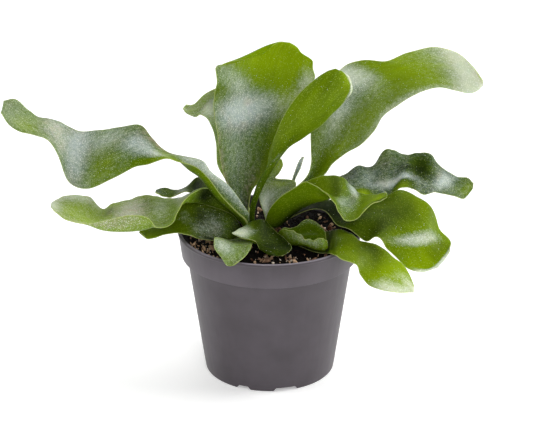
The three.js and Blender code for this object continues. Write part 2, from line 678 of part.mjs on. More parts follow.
const frondCentralFan = {
  name: 'frond_central_fan',
  across: 6,
  stem: 2.0,
  waves: 4,
  ruffle: 0.9,
  rows: [
    [[-13.5, -10, 10], [-12.5, -10, 11], [-11, -10, 10]],
    [[-17, 0.5, 11], [-15, 0.5, 12], [-13.5, 0.5, 11]],
    [[-21.5, 8.5, 12], [-17, 9, 14], [-13.2, 9, 12]],
    [[-26, 16.5, 12], [-19, 17, 17], [-10.9, 17, 14]],
    [[-30, 25.5, 11], [-18, 27, 20], [-3.8, 25.5, 17]],
    [[-32.5, 39.5, 10], [-16, 39.5, 24], [1.5, 39.5, 20]],
    [[-34.5, 52, 8], [-15.5, 51, 26], [6.5, 50.5, 23]],
    [[-36.5, 64.5, 6], [-14, 63.5, 27], [12, 62.5, 26]],
    [[-36, 76, 5], [-12.5, 75.5, 27], [19, 73.5, 28]],
    [[-35, 86, 5], [-10.5, 86, 27], [26, 82.5, 30]],
    [[-35.5, 97, 7], [-8.5, 96.5, 27], [29.5, 91, 30]],
    [[-30.5, 98.4, 11], [-5, 105.5, 27], [27.8, 100.8, 30]],
    [[-18, 101.8, 16], [0, 111, 27], [21, 107, 29]],
    [[-4.5, 105.8, 22], [5, 113, 27], [13.5, 113, 28]],
  ],
};

const frondBackLeft = {
  name: 'frond_back_left',
  across: 4,
  stem: 2.0,
  waves: 3,
  ruffle: 0.6,
  rows: [
    [[-11, -7, 17], [-10, -7, 18], [-9, -7, 17]],
    [[-19.5, 9, 24], [-17.5, 9, 27], [-15.5, 9, 24]],
    [[-28.5, 22.5, 31], [-25.5, 23.5, 35], [-21, 24.5, 31]],
    [[-34.5, 33.5, 37], [-29.5, 35.5, 43], [-22, 36.5, 38]],
    [[-35, 44.5, 41], [-28, 47, 49], [-19.5, 49, 43]],
    [[-36, 52.5, 45], [-26.5, 58.5, 54], [-17.5, 63.5, 48]],
    [[-40, 61.5, 48], [-29.5, 69.5, 57], [-21, 77, 53]],
    [[-45, 65.5, 50], [-37, 75, 57], [-31.5, 83.5, 55]],
    [[-49.5, 64.5, 52], [-45.5, 71, 56], [-42.5, 79.5, 55]],
    [[-55, 67, 53], [-52.5, 69.5, 55], [-49.5, 73, 55]],
    [[-57, 69.5, 53], [-56, 71, 54], [-55, 72, 54]],
  ],
};

const frondBackSmall = {
  name: 'frond_back_small',
  across: 4,
  stem: 1.6,
  waves: 2,
  ruffle: 0.3,
  rows: [
    [[-2, -9, 12], [-1, -9, 13], [0, -9, 12]],
    [[-3.5, 0, 14], [-0.5, 0.5, 15], [2.5, 1, 14]],
    [[-6.4, 8.5, 15], [-0.5, 9, 18], [8, 9.5, 15.5]],
    [[-7, 15, 16], [4, 15.5, 19.5], [15.8, 16, 16.5]],
    [[-5.2, 20.5, 17], [5, 21, 19.5], [16.3, 22.3, 17]],
    [[-3.4, 24.5, 17.5], [0.5, 24.3, 18.5], [4.2, 23.8, 18]],
    [[-1, 28.5, 18], [2.5, 28.5, 18.5], [6.2, 27.5, 18]],
    [[2.5, 33.5, 18.5], [5.5, 33.7, 18.5], [8.7, 32.5, 18.5]],
    [[5.5, 37, 19], [6.7, 37.3, 19], [8, 36, 19]],
  ],
  fork: [
    [[12.2, 16, 17.6], [14, 16.2, 18], [15.6, 16.5, 17.6]],
    [[14.6, 23, 17.6], [15.8, 23.3, 18], [16.9, 23.6, 17.6]],
    [[17, 30, 18.2], [18.6, 30.3, 18.6], [20.2, 30.6, 18.2]],
    [[19.2, 35.3, 19], [20.5, 35.6, 19.2], [21.8, 35.8, 19]],
    [[21.4, 38, 19.2], [22, 38.2, 19.3], [22.6, 38.1, 19.2]],
  ],
};
const silver = [
  frondUpperLeft, frondLowerLeft, frondLeftUnder, frondLeftBehind, frondFrontLeft, frondRightWavy,
  frondUpperRight, frondCentralFan, frondBackSmall,
];
const green = [
  frondFrontCentre, frondYoungCup, frondLowerRight, frondRightArch, frondRightBroad, frondUprightStrap,
  frondBackLeft,
];
const fronds = [...silver, ...green];

let soil = makeSoil().subtract(makeRhizome(clearance));
let rhizome = makeRhizome(0);
fronds.forEach((frond) => {
  const sleeve = makeSleeve(frond);
  soil = soil.subtract(sleeve);
  rhizome = rhizome.subtract(sleeve);
});

const plant = new THREE.Group();
plant.add(piece('pot', makePot(), colours.pot, 0.6));
plant.add(piece('potting_mix', soil, colours.soil, 0.95));
plant.add(piece('rhizome', rhizome, colours.rhizome, 0.9));
silver.forEach((frond) => plant.add(piece(frond.name, makeFrond(frond), colours.silverFrond, 0.6)));
green.forEach((frond) => plant.add(piece(frond.name, makeFrond(frond), colours.greenFrond, 0.5)));

// The origin is under the middle of the whole plant.
const middle = new THREE.Box3().setFromObject(plant).getCenter(new THREE.Vector3());
plant.position.set(-middle.x, -middle.y, 0);

export default plant;
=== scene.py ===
# Potted staghorn fern: the looks around its CAD frame. Metres, +Z up, the pot's feet on z = 0.
import json
import math
import random
from functools import partial

import bmesh
import bpy
import numpy as np
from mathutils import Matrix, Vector, noise

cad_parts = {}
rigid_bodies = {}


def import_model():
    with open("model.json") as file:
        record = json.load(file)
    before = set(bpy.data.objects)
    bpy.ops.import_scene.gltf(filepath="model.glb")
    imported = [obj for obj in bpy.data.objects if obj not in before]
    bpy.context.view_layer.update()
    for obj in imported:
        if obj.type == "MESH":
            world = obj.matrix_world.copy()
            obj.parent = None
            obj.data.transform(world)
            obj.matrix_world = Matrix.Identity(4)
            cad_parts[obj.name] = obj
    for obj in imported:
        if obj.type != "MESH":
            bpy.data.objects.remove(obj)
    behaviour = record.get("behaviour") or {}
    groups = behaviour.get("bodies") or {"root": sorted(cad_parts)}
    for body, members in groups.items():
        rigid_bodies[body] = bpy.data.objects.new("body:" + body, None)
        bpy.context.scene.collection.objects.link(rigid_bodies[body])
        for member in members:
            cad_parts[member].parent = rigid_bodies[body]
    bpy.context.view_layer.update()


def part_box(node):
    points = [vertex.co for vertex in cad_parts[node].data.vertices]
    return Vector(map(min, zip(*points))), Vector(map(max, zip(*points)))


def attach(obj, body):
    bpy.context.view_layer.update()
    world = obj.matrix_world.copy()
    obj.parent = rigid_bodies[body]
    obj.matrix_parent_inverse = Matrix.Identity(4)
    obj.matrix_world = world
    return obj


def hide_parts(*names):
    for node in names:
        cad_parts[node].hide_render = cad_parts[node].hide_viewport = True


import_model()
potLow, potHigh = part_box("pot")
axisFoot = (potLow + potHigh) / 2  # where the pot's upright axis meets the ground
axisFoot.z = 0.0
mm = 0.001
weldWithin = 0.001 * mm  # points closer than this become one


def colour(hexText):  # an sRGB hex value as linear red, green, blue, alpha
    values = [int(hexText[i:i + 2], 16) / 255 for i in (1, 3, 5)]
    linear = [v / 12.92 if v <= 0.04045 else ((v + 0.055) / 1.055) ** 2.4 for v in values]
    return (*linear, 1.0)


def addNode(tree, kind, inputs=None, stops=(), **settings):
    # one node with its settings, its inputs' values or links, and a ramp's stops; a node given as an
    # input stands for its first output in use, and a material's nodes leave out "ShaderNode"
    node = tree.nodes.new("ShaderNode" + kind if tree.type == "SHADER" else kind)
    for name, value in settings.items():
        setattr(node, name, value)
    for key, value in (inputs or {}).items():
        if isinstance(value, bpy.types.Node):
            value = next(output for output in value.outputs if output.enabled)
        if isinstance(value, bpy.types.NodeSocket):
            tree.links.new(value, node.inputs[key])
        else:
            node.inputs[key].default_value = value
    for k, (place, value) in enumerate(stops):
        elements = node.color_ramp.elements
        element = elements[k] if k < len(elements) else elements.new(1.0)
        element.position, element.color = place, (value, value, value, 1.0)
    return node


def newMaterial(name):  # an empty material, and what adds nodes to it
    material = bpy.data.materials.new(name)
    material.use_nodes = True
    material.node_tree.nodes.clear()
    return material, partial(addNode, material.node_tree)


def newObject(name, data):  # an object at the origin, in the scene
    made = bpy.data.objects.new(name, data)
    bpy.context.scene.collection.objects.link(made)
    return made


def newPiece(name, vertices, faces, material):  # a smooth mesh object
    mesh = bpy.data.meshes.new(name)
    mesh.from_pydata(vertices, [], faces)
    mesh.validate()
    mesh.materials.append(material)
    mesh.polygons.foreach_set("use_smooth", [True] * len(mesh.polygons))
    return newObject(name, mesh)


def mark(mesh, name, values):  # a number or a vector for each point
    values = np.array(values, float)
    kind, key = ("FLOAT", "value") if values.ndim == 1 else ("FLOAT_VECTOR", "vector")
    mesh.attributes.new(name, kind, "POINT").data.foreach_set(key, values.reshape(-1))


def closedPiece(name, made, valueName, material):
    # a piece with a value for each point, its doubled points merged and its faces turned outward
    vertices, faces, values = made
    piece = newPiece(name, vertices, faces, material)
    mark(piece.data, valueName, values)
    shape = bmesh.new()
    shape.from_mesh(piece.data)
    bmesh.ops.remove_doubles(shape, verts=shape.verts, dist=weldWithin)
    bmesh.ops.recalc_face_normals(shape, faces=shape.faces)
    shape.to_mesh(piece.data)
    shape.free()
    return piece


def settle(piece):  # keeps what the modifiers make as a plain mesh
    bpy.context.view_layer.update()
    mesh = bpy.data.meshes.new_from_object(piece.evaluated_get(bpy.context.evaluated_depsgraph_get()))
    piece.modifiers.clear()
    piece.data = mesh


def handOver(piece, slot, *nodes):  # tells the frame what the piece rides on and stands for
    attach(piece, "root")
    if nodes:
        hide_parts(*nodes)


def atAxis(x, y, height):  # mm from the pot's axis and the ground, as a place in the frame
    return axisFoot.x + x * mm, axisFoot.y + y * mm, height * mm


def fullTurn(count):  # even angles right round
    return [2 * math.pi * k / count for k in range(count)]


def ringFaces(rings, sides):  # between rings of points, given by their numbers
    return [(a * sides + k, a * sides + (k + 1) % sides, b * sides + (k + 1) % sides, b * sides + k)
            for a, b in zip(rings, rings[1:]) for k in range(sides)]


# Camera: the photo's frame, fitted to the ellipses of the rim, the collar and the feet.
camera = {
    "tilt": 22.5,  # degrees below the horizon
    "distance": 1300.0,  # mm from the point looked at
    "height": 107.8,  # mm, of that point on the pot's axis
    "lens": 129.0, "sensor": 36.0,
    "farthest": 20.0,  # metres
    "frameWidth": 553, "axisColumn": 269.7,  # the photo's width and its column of the pot's axis
}
tilt = math.radians(camera["tilt"])
cameraData = bpy.data.cameras.new("camera")
cameraData.lens, cameraData.sensor_width = camera["lens"], camera["sensor"]
cameraData.clip_end = camera["farthest"]
cameraData.shift_x = (camera["frameWidth"] / 2 - camera["axisColumn"]) / camera["frameWidth"]
cameraObject = newObject("camera", cameraData)
cameraObject.location = (
    axisFoot.x, axisFoot.y - camera["distance"] * mm * math.cos(tilt),
    (camera["height"] + camera["distance"] * math.sin(tilt)) * mm)
cameraObject.rotation_euler = (math.pi / 2 - tilt, 0.0, 0.0)
bpy.context.scene.camera = cameraObject

# Studio: white surroundings, with large soft lamps at both sides and in front, and light from above.
studio = {
    "surround": 0.18,
    "lamps": [  # name, place and size in metres, watts
        ("leftLamp", (-1.2, -0.1, 0.75), 0.9, 7.2),
        ("rightLamp", (1.2, 0.1, 0.7), 0.8, 14.2),
        ("frontLamp", (0.2, -1.6, 0.95), 0.9, 11.0),
    ],
    "aim": (0.0, 0.0, 0.1),
    "sheetLight": 1.55, "sheetSpread": 60.0, "sheetFrom": (0.15, 0.45, 1.0),
    "floor": "#f6f6f6", "floorGlow": 0.3, "floorReach": 6.0,  # metres
}
world = bpy.data.worlds.new("studio")
world.use_nodes = True
background = world.node_tree.nodes["Background"].inputs
background["Color"].default_value = (1.0, 1.0, 1.0, 1.0)
background["Strength"].default_value = studio["surround"]
bpy.context.scene.world = world
bpy.context.scene.view_settings.view_transform = "Standard"
for lampName, place, size, watts in studio["lamps"]:
    lamp = bpy.data.lights.new(lampName, "AREA")
    lamp.shape, lamp.size, lamp.energy = "DISK", size, watts
    lampObject = newObject(lampName, lamp)
    lampObject.location = place
    lampObject.rotation_euler = (Vector(studio["aim"]) - Vector(place)).to_track_quat("-Z", "Y").to_euler()
sheet = bpy.data.lights.new("topSheet", "SUN")  # daylight through a diffusing sheet, from above and behind
sheet.energy, sheet.angle = studio["sheetLight"], math.radians(studio["sheetSpread"])
newObject("topSheet", sheet).rotation_euler = Vector(studio["sheetFrom"]).to_track_quat("Z", "Y").to_euler()
print("camera and studio ready")

# Frond finish: leathery leaf of a staghorn fern, grown, with a waxy skin under scattered
# star-shaped hairs. It is satin green where bare and turns pale silver where the hairs are dense.
# The colour also carries painted highlights in the silver, painted light shining through the blade
# in the yellow-green, and painted shade in the darkest green.
leafFinishAndLight = {
    # lime and the underside's green: partly the blade's own, partly painted light shining through it; the
    # last green here is painted shade
    "deep": "#213506", "green": "#446402", "lime": "#7c9600", "under": "#587600", "dark": "#0d1703",
    "cool": "#3c5b40",  # under the silver hairs and painted highlights
    # the silver of dense hairs and of painted highlights alike
    "bloomAndHighlightCool": "#b4c0bb", "bloomWarm": "#bbbcb3", "bloomLime": "#d2d9bc",
    "tan": "#b09a84",  # old hairs, gone dry
    "speckBare": "#b0c452", "speckSilver": "#e8eae0", "margin": "#c0c880",
    "clouds": (6.0, 22.0, 3.0),  # the uneven green: mm across and along the blade, and detail
    "veins": (2.2, 50.0, 1.0),  # the long veins
    "tufts": (2.2, 3.4, 4.0),  # the mottling in the silver bloom
    "grain": 0.9, "drift": 14.0,  # mm: fine unevenness, and the warmer and cooler silver
    "veinLight": (1.0, 1.0, 0.8, 1.0),  # linear
    "limeClouds": 0.4, "limeFrom": 0.2, "underPart": 0.5, "veinPart": 0.15,
    "bloomAndHighlightTufts": 0.45, "bloomAndHighlightGrain": 0.3, "bloomAndHighlightUnder": 0.25, "bloomAndHighlightMost": 0.86,
    "speckSpacing": 0.85,  # mm; real hairs stand about 0.4 mm apart, too fine to show
    "speckSize": (0.16, 0.08, 0.2),  # in spacings: the least, more on silver, more by chance
    "speckGlow": (0.42, 0.3, -0.35),  # on green, more on silver, less in the painted shade
    "marginWidth": 0.5, "thickness": 1.1,  # mm, and mm that light passes through
    "speckRelief": 0.6, "veinRelief": 0.5,  # height beside the grain's
}
smoothSteps = {"interpolation_type": "SMOOTHSTEP"}


def makeLeafMaterial(name, look):
    material, add = newMaterial(name)
    place, tintAndLight, face, tan = (add("Attribute", attribute_name=attribute).outputs
                              for attribute in ("leafPlace", "leafTintAndLight", "leafFace", "leafTan"))
    spot = add("TexCoord").outputs["Object"]
    fromEdge = add("SeparateXYZ", {0: place["Vector"]}).outputs[2]
    # the tints: silver of hairs and painted highlights, yellow-green that is partly painted light through the
    # blade, and painted shade
    silver, lime, dark = add("SeparateXYZ", {0: tintAndLight["Vector"]}).outputs
    patterns = []
    for wide, long, detail in (look["clouds"], look["veins"], look["tufts"]):
        bladeSpot = add("VectorMath", {0: place["Vector"], 1: (1 / wide, 1 / long, 0.0)},
                        operation="MULTIPLY")
        patterns.append(add("TexNoise", {"Vector": bladeSpot, "Scale": 1.0, "Detail": detail}))
    cloudy, veins, tufts = patterns
    grain = add("TexNoise", {"Vector": spot, "Scale": 1 / (look["grain"] * mm), "Detail": 2.0})

    # yellow-green, partly the blade's own and partly painted light shining through it
    limeAndBacklightAmount = add("Math", {0: cloudy, 1: look["limeClouds"], 2: lime}, operation="MULTIPLY_ADD")
    limeAndBacklightAmount = add("Math", {0: limeAndBacklightAmount, 1: look["limeFrom"]}, operation="SUBTRACT", use_clamp=True)
    underFace, notLime = (add("Math", {0: 1.0, 1: amount}, operation="SUBTRACT", use_clamp=True)
                          for amount in (face["Fac"], limeAndBacklightAmount))
    underAmount = add("Math", {0: underFace, 1: look["underPart"]}, operation="MULTIPLY")
    coolRange = add("MapRange", {"Value": silver, "From Min": 0.05, "From Max": 0.55}, **smoothSteps)
    coolAmount = add("Math", {0: coolRange, 1: notLime}, operation="MULTIPLY")
    # the green: deep, cloudy green, then yellow-green and the underside's green, both partly painted light
    # through the blade, the cool green under the silver, and painted shade last
    base = colour(look["deep"])
    for amount, tone in ((cloudy, "green"), (limeAndBacklightAmount, "lime"), (underAmount, "under"),
                         (coolAmount, "cool"), (dark, "dark")):
        base = add("Mix", {0: amount, 6: base, 7: colour(look[tone])}, data_type="RGBA")
    veinLines = add("ValToRGB", {"Fac": veins}, stops=[(0.4, 0.0), (0.5, 1.0), (0.6, 0.0)])
    veinShade = add("Math", {0: veinLines, 1: look["veinPart"]}, operation="MULTIPLY")
    base = add("Mix", {0: veinShade, 6: base, 7: look["veinLight"]},
               data_type="RGBA", blend_type="SOFT_LIGHT")

    # Silver bloom and painted highlights: close hairs, thicker in some places than in others, with painted
    # highlights in the same silver, and tan where the hairs are old.
    bloomAndHighlightSum = add("Math", {0: tufts, 1: look["bloomAndHighlightTufts"], 2: silver}, operation="MULTIPLY_ADD")
    bloomAndHighlightSum = add("Math", {0: grain, 1: look["bloomAndHighlightGrain"], 2: bloomAndHighlightSum}, operation="MULTIPLY_ADD")
    bloomAndHighlightRange = add("MapRange", {
        "Value": bloomAndHighlightSum, "From Min": 0.45, "From Max": 1.25, "To Max": look["bloomAndHighlightMost"]}, **smoothSteps)
    bloomAndHighlightFace = add("Math", {0: face["Fac"], 1: 1 - look["bloomAndHighlightUnder"], 2: look["bloomAndHighlightUnder"]},
                    operation="MULTIPLY_ADD", use_clamp=True)
    bloomAndHighlightAmount = add("Math", {0: bloomAndHighlightRange, 1: bloomAndHighlightFace}, operation="MULTIPLY")
    drift = add("TexNoise", {"Vector": spot, "Scale": 1 / (look["drift"] * mm), "Detail": 1.0})
    warmth = add("MapRange", {"Value": drift, "From Min": 0.46, "From Max": 0.7}, **smoothSteps)
    bloomAndHighlight = colour(look["bloomAndHighlightCool"])
    for amount, tone in ((warmth, "bloomWarm"), (limeAndBacklightAmount, "bloomLime")):
        bloomAndHighlight = add("Mix", {0: amount, 6: bloomAndHighlight, 7: colour(look[tone])}, data_type="RGBA")
    tanRange = add("MapRange", {"Value": tufts, "From Min": 0.3, "From Max": 0.65}, **smoothSteps)
    tanAmount = add("Math", {0: tanRange, 1: tan["Fac"]}, operation="MULTIPLY")

    # Single hairs show as pale specks, larger and brighter where the silver and its painted highlights are,
    # and dimmer in the painted shade.
    specks = add("TexVoronoi", {"Vector": spot, "Scale": 1 / (look["speckSpacing"] * mm)})
    chance = add("SeparateXYZ", {0: specks.outputs["Color"]})
    least, onSilver, byChance = look["speckSize"]
    speckSize = add("Math", {0: silver, 1: onSilver, 2: least}, operation="MULTIPLY_ADD")
    speckSize = add("Math", {0: chance, 1: byChance, 2: speckSize}, operation="MULTIPLY_ADD")
    speckDepth = add("Math", {0: speckSize, 1: specks}, operation="SUBTRACT")
    speckShape = add("MapRange", {"Value": speckDepth, "From Min": -0.06, "From Max": 0.08}, **smoothSteps)
    speckGlow, onSilver, inPaintedShade = look["speckGlow"]
    for amount, part in ((silver, onSilver), (dark, inPaintedShade)):
        speckGlow = add("Math", {0: amount, 1: part, 2: speckGlow},
                        operation="MULTIPLY_ADD", use_clamp=True)
    speckMask = add("Math", {0: speckShape, 1: speckGlow}, operation="MULTIPLY")
    speckTone = add("Mix", {0: coolRange, 6: colour(look["speckBare"]), 7: colour(look["speckSilver"])},
                    data_type="RGBA")
    margin = add("MapRange", {  # a pale dry line along the edge
        "Value": fromEdge, "From Min": look["marginWidth"], "From Max": 0.1, "To Max": 0.45}, **smoothSteps)
    for amount, tone in ((bloomAndHighlightAmount, bloomAndHighlight), (tanAmount, colour(look["tan"])), (speckMask, speckTone),
                         (margin, colour(look["margin"]))):
        base = add("Mix", {0: amount, 6: base, 7: tone}, data_type="RGBA")

    rough = add("MapRange", {"Value": bloomAndHighlightAmount, "To Min": 0.32, "To Max": 0.55})
    height = add("Math", {0: speckMask, 1: look["speckRelief"], 2: grain}, operation="MULTIPLY_ADD")
    height = add("Math", {0: veinLines, 1: look["veinRelief"], 2: height}, operation="MULTIPLY_ADD")
    relief = add("Bump", {"Height": height, "Strength": 0.5, "Distance": 0.12 * mm})
    leaf = add("BsdfPrincipled", {
        "Base Color": base, "Roughness": rough, "Normal": relief, "IOR": 1.45, "Specular IOR Level": 0.06,
        "Subsurface Weight": 0.2, "Subsurface Radius": (0.5, 1.0, 0.05),
        "Subsurface Scale": look["thickness"] * mm})
    add("OutputMaterial", {"Surface": leaf})
    return material


leafMaterial = makeLeafMaterial("staghornLeaf", leafFinishAndLight)

# Fronds: each blade is smooth through the rows of points that its CAD solid has, root to tip, each
# row from edge to edge, in the photo's own plane: mm right of the pot's axis, mm above the
# point looked at, and mm behind the axis. "stem" is the thickness at the root in mm, "waves" and
# "ruffle" are the number and height of the waves, and "upper" tells which face is the upper one.
# Each tint starts with its amounts at root and tip. The first tint is the hairs' silver together with
# painted highlights, the second is yellow-green that is partly the blade's own and partly painted light
# shining through it, the third is painted shade, and the last is old dry hairs gone tan. Then come
# its patches: place along the blade (0 to 1) and across it (-1 to 1), size along and across,
# strength, and for some a slant.
blade = {
    "alongSteps": 10, "acrossSteps": 28,  # mesh lines for each row of points, and across
    "edgeLines": (0.97, 0.99),  # more lines near the edges
    "thick": 1.0, "stemRows": 3,  # mm, and the rows over which the stem thins to this
    "waveStart": 0.15, "waveFull": 0.5, "waveLag": 1.4,  # along the blade, and radians across it
    "ripple": 0.18, "rippleTimes": 3.3, "rippleLag": 3,  # mm, a finer ruffle, and how much closer it waves
    "waveRise": 4, "rippleRise": 9, "scallopRise": 5, "rimRise": 14,  # powers of the place across
    "rimPart": 0.3,  # of the thickness is left at the very edge
    "tipEdge": 0.3,  # mm, taken as the distance from the edge at the tip
    "tintsAndLight": ("silver", "lime", "dark", "tan"),
}


def fromPhoto(points):  # points as the photo shows them, in mm, to places in the frame, in metres
    across, up, depth = points[..., 0], points[..., 1], points[..., 2]
    sine, cosine = math.sin(tilt), math.cos(tilt)
    away = (depth - up * sine) / (cosine + up * sine / camera["distance"])
    spread = 1 + away / camera["distance"]
    x = across * spread + axisFoot.x / mm
    y = depth + axisFoot.y / mm
    z = camera["height"] + up * spread * cosine - away * sine
    return np.stack([x, y, z], axis=-1) * mm


def smoothThrough(points, places):  # the smooth curve through points, at places counted in points
    padded = np.concatenate([2 * points[:1] - points[1:2], points, 2 * points[-1:] - points[-2:-1]])
    start = np.minimum(places.astype(int), len(points) - 2)
    t = (places - start).reshape(-1, *[1] * (points.ndim - 1))
    before, a, b, after = (padded[start + k] for k in range(4))
    leave, arrive = (b - before) / 2, (after - a) / 2
    return ((2 * t ** 3 - 3 * t ** 2 + 1) * a + (t ** 3 - 2 * t ** 2 + t) * leave
            + (3 * t ** 2 - 2 * t ** 3) * b + (t ** 3 - t ** 2) * arrive)


def gridNormals(grid):
    normals = np.cross(np.gradient(grid, axis=0), np.gradient(grid, axis=1))
    return normals / np.maximum(np.linalg.norm(normals, axis=2, keepdims=True), 1e-12)


def smoothStep(value, low, high):
    t = np.clip((value - low) / (high - low), 0.0, 1.0)
    return t * t * (3 - 2 * t)


def runLength(grid, axis):  # distance along the grid's lines from their first points
    steps = np.linalg.norm(np.diff(grid, axis=axis), axis=2)
    start = np.zeros_like(steps[:1] if axis == 0 else steps[:, :1])
    return np.concatenate([start, np.cumsum(steps, axis=axis)], axis=axis)


def makeBlade(rows, look):  # vertices, faces and leaf attributes of one blade
    rows = fromPhoto(np.array(rows, float).reshape(len(rows), -1, 3))
    s = np.linspace(0.0, 1.0, (len(rows) - 1) * blade["alongSteps"] + 1)
    lines = smoothThrough(rows, s * (len(rows) - 1))
    even = np.linspace(-1.0, 1.0, blade["acrossSteps"] + 1)
    out = np.sort(np.concatenate([even, [side * place for place in blade["edgeLines"] for side in (-1, 1)]]))
    grid = smoothThrough(lines.transpose(1, 0, 2), (out + 1) / 2 * (rows.shape[1] - 1)).transpose(1, 0, 2)

    grow = smoothStep(s, blade["waveStart"], blade["waveFull"])[:, None]
    turn = 2 * math.pi * look["waves"] * s[:, None]
    wave = look["ruffle"] * np.sin(turn + out * blade["waveLag"]) * out ** blade["waveRise"]
    ripple = blade["ripple"] * np.sin(turn * blade["rippleTimes"] + blade["rippleLag"] * out)
    ripple = ripple * np.abs(out) ** blade["rippleRise"]
    grid = grid + gridNormals(grid) * ((wave + ripple) * grow * mm)[..., None]
    if "scallop" in look:  # wavy sides near the tip: mm, times along the blade, lag, start and run
        amount, times, lag, start, run = look["scallop"]
        outward = np.gradient(grid, axis=1)
        outward /= np.linalg.norm(outward, axis=2, keepdims=True)
        push = amount * np.sin(2 * math.pi * times * s + lag) * smoothStep(s, start, start + run)
        grid = grid + outward * (push[:, None] * out ** blade["scallopRise"] * mm)[..., None]

    stem = np.clip(s * (len(rows) - 1) / blade["stemRows"], 0.0, 1.0)[:, None]
    thick = look["stem"] + (blade["thick"] - look["stem"]) * stem
    thick = thick * (1 - (1 - blade["rimPart"]) * np.abs(out) ** blade["rimRise"]) * mm
    normals = gridNormals(grid)
    front, back = grid + normals * thick[..., None] / 2, grid - normals * thick[..., None] / 2

    along, across = runLength(grid, 0), runLength(grid, 1)
    width = across[:, -1:]
    edge = np.minimum(across, width - across)
    edge = np.minimum(edge, along[-1:] - along + blade["tipEdge"] * mm)
    place = np.stack([across - width / 2, along, edge], axis=-1) / mm
    tintAndLight = np.zeros(grid.shape[:2] + (len(blade["tintsAndLight"]),))
    for k, name in enumerate(blade["tintsAndLight"]):
        (root, tip), *patches = look.get(name, [(0.0, 0.0)])
        tintAndLight[..., k] = root + (tip - root) * s[:, None]
        for sPlace, outPlace, sSize, outSize, strength, *slant in patches:
            sMiddle = sPlace + sum(slant) * (out - outPlace)
            bump = np.exp(-((s[:, None] - sMiddle) / sSize) ** 2 - ((out - outPlace) / outSize) ** 2)
            tintAndLight[..., k] += strength * bump
    tintAndLight = np.clip(tintAndLight, 0.0, 1.0)

    count = grid.shape[0] * grid.shape[1]
    index = np.arange(count).reshape(grid.shape[:2])
    a, b, c, d = index[:-1, :-1], index[1:, :-1], index[1:, 1:], index[:-1, 1:]
    border = np.concatenate([index[:, 0], index[-1, 1:], index[-2::-1, -1], index[0, -2::-1]])
    faces = [np.stack([a, b, c, d], -1).reshape(-1, 4), np.stack([d, c, b, a], -1).reshape(-1, 4) + count,
             np.stack([border[:-1], border[:-1] + count, border[1:] + count, border[1:]], -1)]
    attributes = {
        "leafPlace": np.concatenate([place.reshape(-1, 3)] * 2),
        "leafTintAndLight": np.concatenate([tintAndLight[..., :3].reshape(-1, 3)] * 2),
        "leafTan": np.concatenate([tintAndLight[..., 3].reshape(-1)] * 2),
        "leafFace": np.repeat([(1 + look["upper"]) / 2, (1 - look["upper"]) / 2], count),
    }
    return np.concatenate([front.reshape(-1, 3), back.reshape(-1, 3)]), np.concatenate(faces), attributes


frondPieces = []


def makeFrond(look):
    parts = [makeBlade(look["rows"], look)]
    if "fork" in look:
        forkLook = {**look, "ruffle": 0.0, "stem": blade["thick"], **look["forkLook"]}
        parts.append(makeBlade(look["fork"], forkLook))
    start = np.cumsum([0] + [len(part[0]) for part in parts[:-1]])
    vertices = np.concatenate([part[0] for part in parts])
    faces = np.concatenate([part[1] + first for part, first in zip(parts, start)])
    piece = newPiece(look["node"] + "_leaf", vertices.tolist(), faces.tolist(), leafMaterial)
    for name in parts[0][2]:
        mark(piece.data, name, np.concatenate([part[2][name] for part in parts]))
    handOver(piece, look["slot"], look["node"])
    frondPieces.append(piece)


makeFrond({
    "node": "frond_upper_left", "slot": "frond_silvery", "stem": 2.2, "waves": 5, "ruffle": 0.8, "upper": -1,
    "silver": [(0.1, 0.3), (0.42, -0.3, 0.04, 0.35, 0.35), (0.475, 0.1, 0.045, 0.5, 0.4),
               (0.66, 0.2, 0.04, 1.2, 0.45), (0.75, 0.2, 0.06, 1, 0.35), (0.57, 0.5, 0.045, 0.5, 0.3),
               (0.2, 0.95, 0.13, 0.4, 0.5), (0.95, 0, 0.06, 1, 0.1), (0.3, 0.5, 0.06, 0.4, 0.25),
               (0.44, -0.95, 0.05, 0.25, -0.5), (0.3, -0.95, 0.08, 0.3, -0.3),
               (0.57, -0.1, 0.045, 0.7, -0.1)],
    "lime": [(0.2, 0.5), (0.66, 0.2, 0.05, 1.2, -0.35), (0.57, -0.3, 0.05, 0.8, 0.25),
             (0.38, -0.2, 0.05, 1, 0.5), (0.88, -0.4, 0.06, 0.6, 0.4), (0.2, -0.8, 0.12, 0.5, 0.4),
             (0.47, 0.2, 0.07, 0.8, -0.3)],
    "dark": [(0.2, 0), (0.16, -0.1, 0.1, 0.35, 0.5), (0.57, -0.1, 0.045, 0.7, 0.2)],
    "tan": [(0, 0), (0.43, 0.95, 0.055, 0.45, 0.75), (0.77, 0.1, 0.05, 0.8, 0.35)],
    "rows": [
        [-13, -15.5, -6, -14, -16.5, -4, -13, -15.5, -2], [-15, -4.5, -8, -17, -4.5, -5, -12.5, -2.5, -1],
        [-22, 2.5, -9, -24, 2, -5, -17, 6, 0], [-31.5, 12.5, -11, -35, 12, -6, -26.5, 19, 1],
        [-40.5, 24.5, -12, -45.5, 24.5, -6, -38, 28, 2], [-49, 32, -13, -53, 30, -6, -44, 35.5, 2],
        [-60, 35, -14, -61.5, 37.5, -6, -55, 38, 3], [-68, 36.5, -15, -69.5, 39.5, -6, -66.5, 41.5, 4],
        [-78.5, 33.5, -15, -80, 44, -5, -77, 50.5, 7], [-89, 31.5, -15, -92.5, 46, -4, -85, 58.5, 9],
        [-103.5, 23.5, -15, -106, 41.5, -3, -99, 57.5, 11], [-119, 17, -14, -118, 37.5, -1, -112.5, 56, 13],
        [-131, 21, -12, -129, 41.5, 1, -125, 55, 14], [-136.5, 34, -9, -135.5, 48, 3, -133.5, 58.5, 15],
        [-144, 47, -5, -144, 56.5, 4, -141.5, 63, 16], [-153.5, 52, -2, -152.5, 59, 6, -152, 65, 16],
        [-164, 55, 1, -162, 63, 8, -159, 69, 15], [-171, 59, 4, -169.5, 67.5, 9, -167, 76, 14],
        [-176.5, 67, 8, -175.5, 70, 10, -174.5, 75, 12],
    ],
})
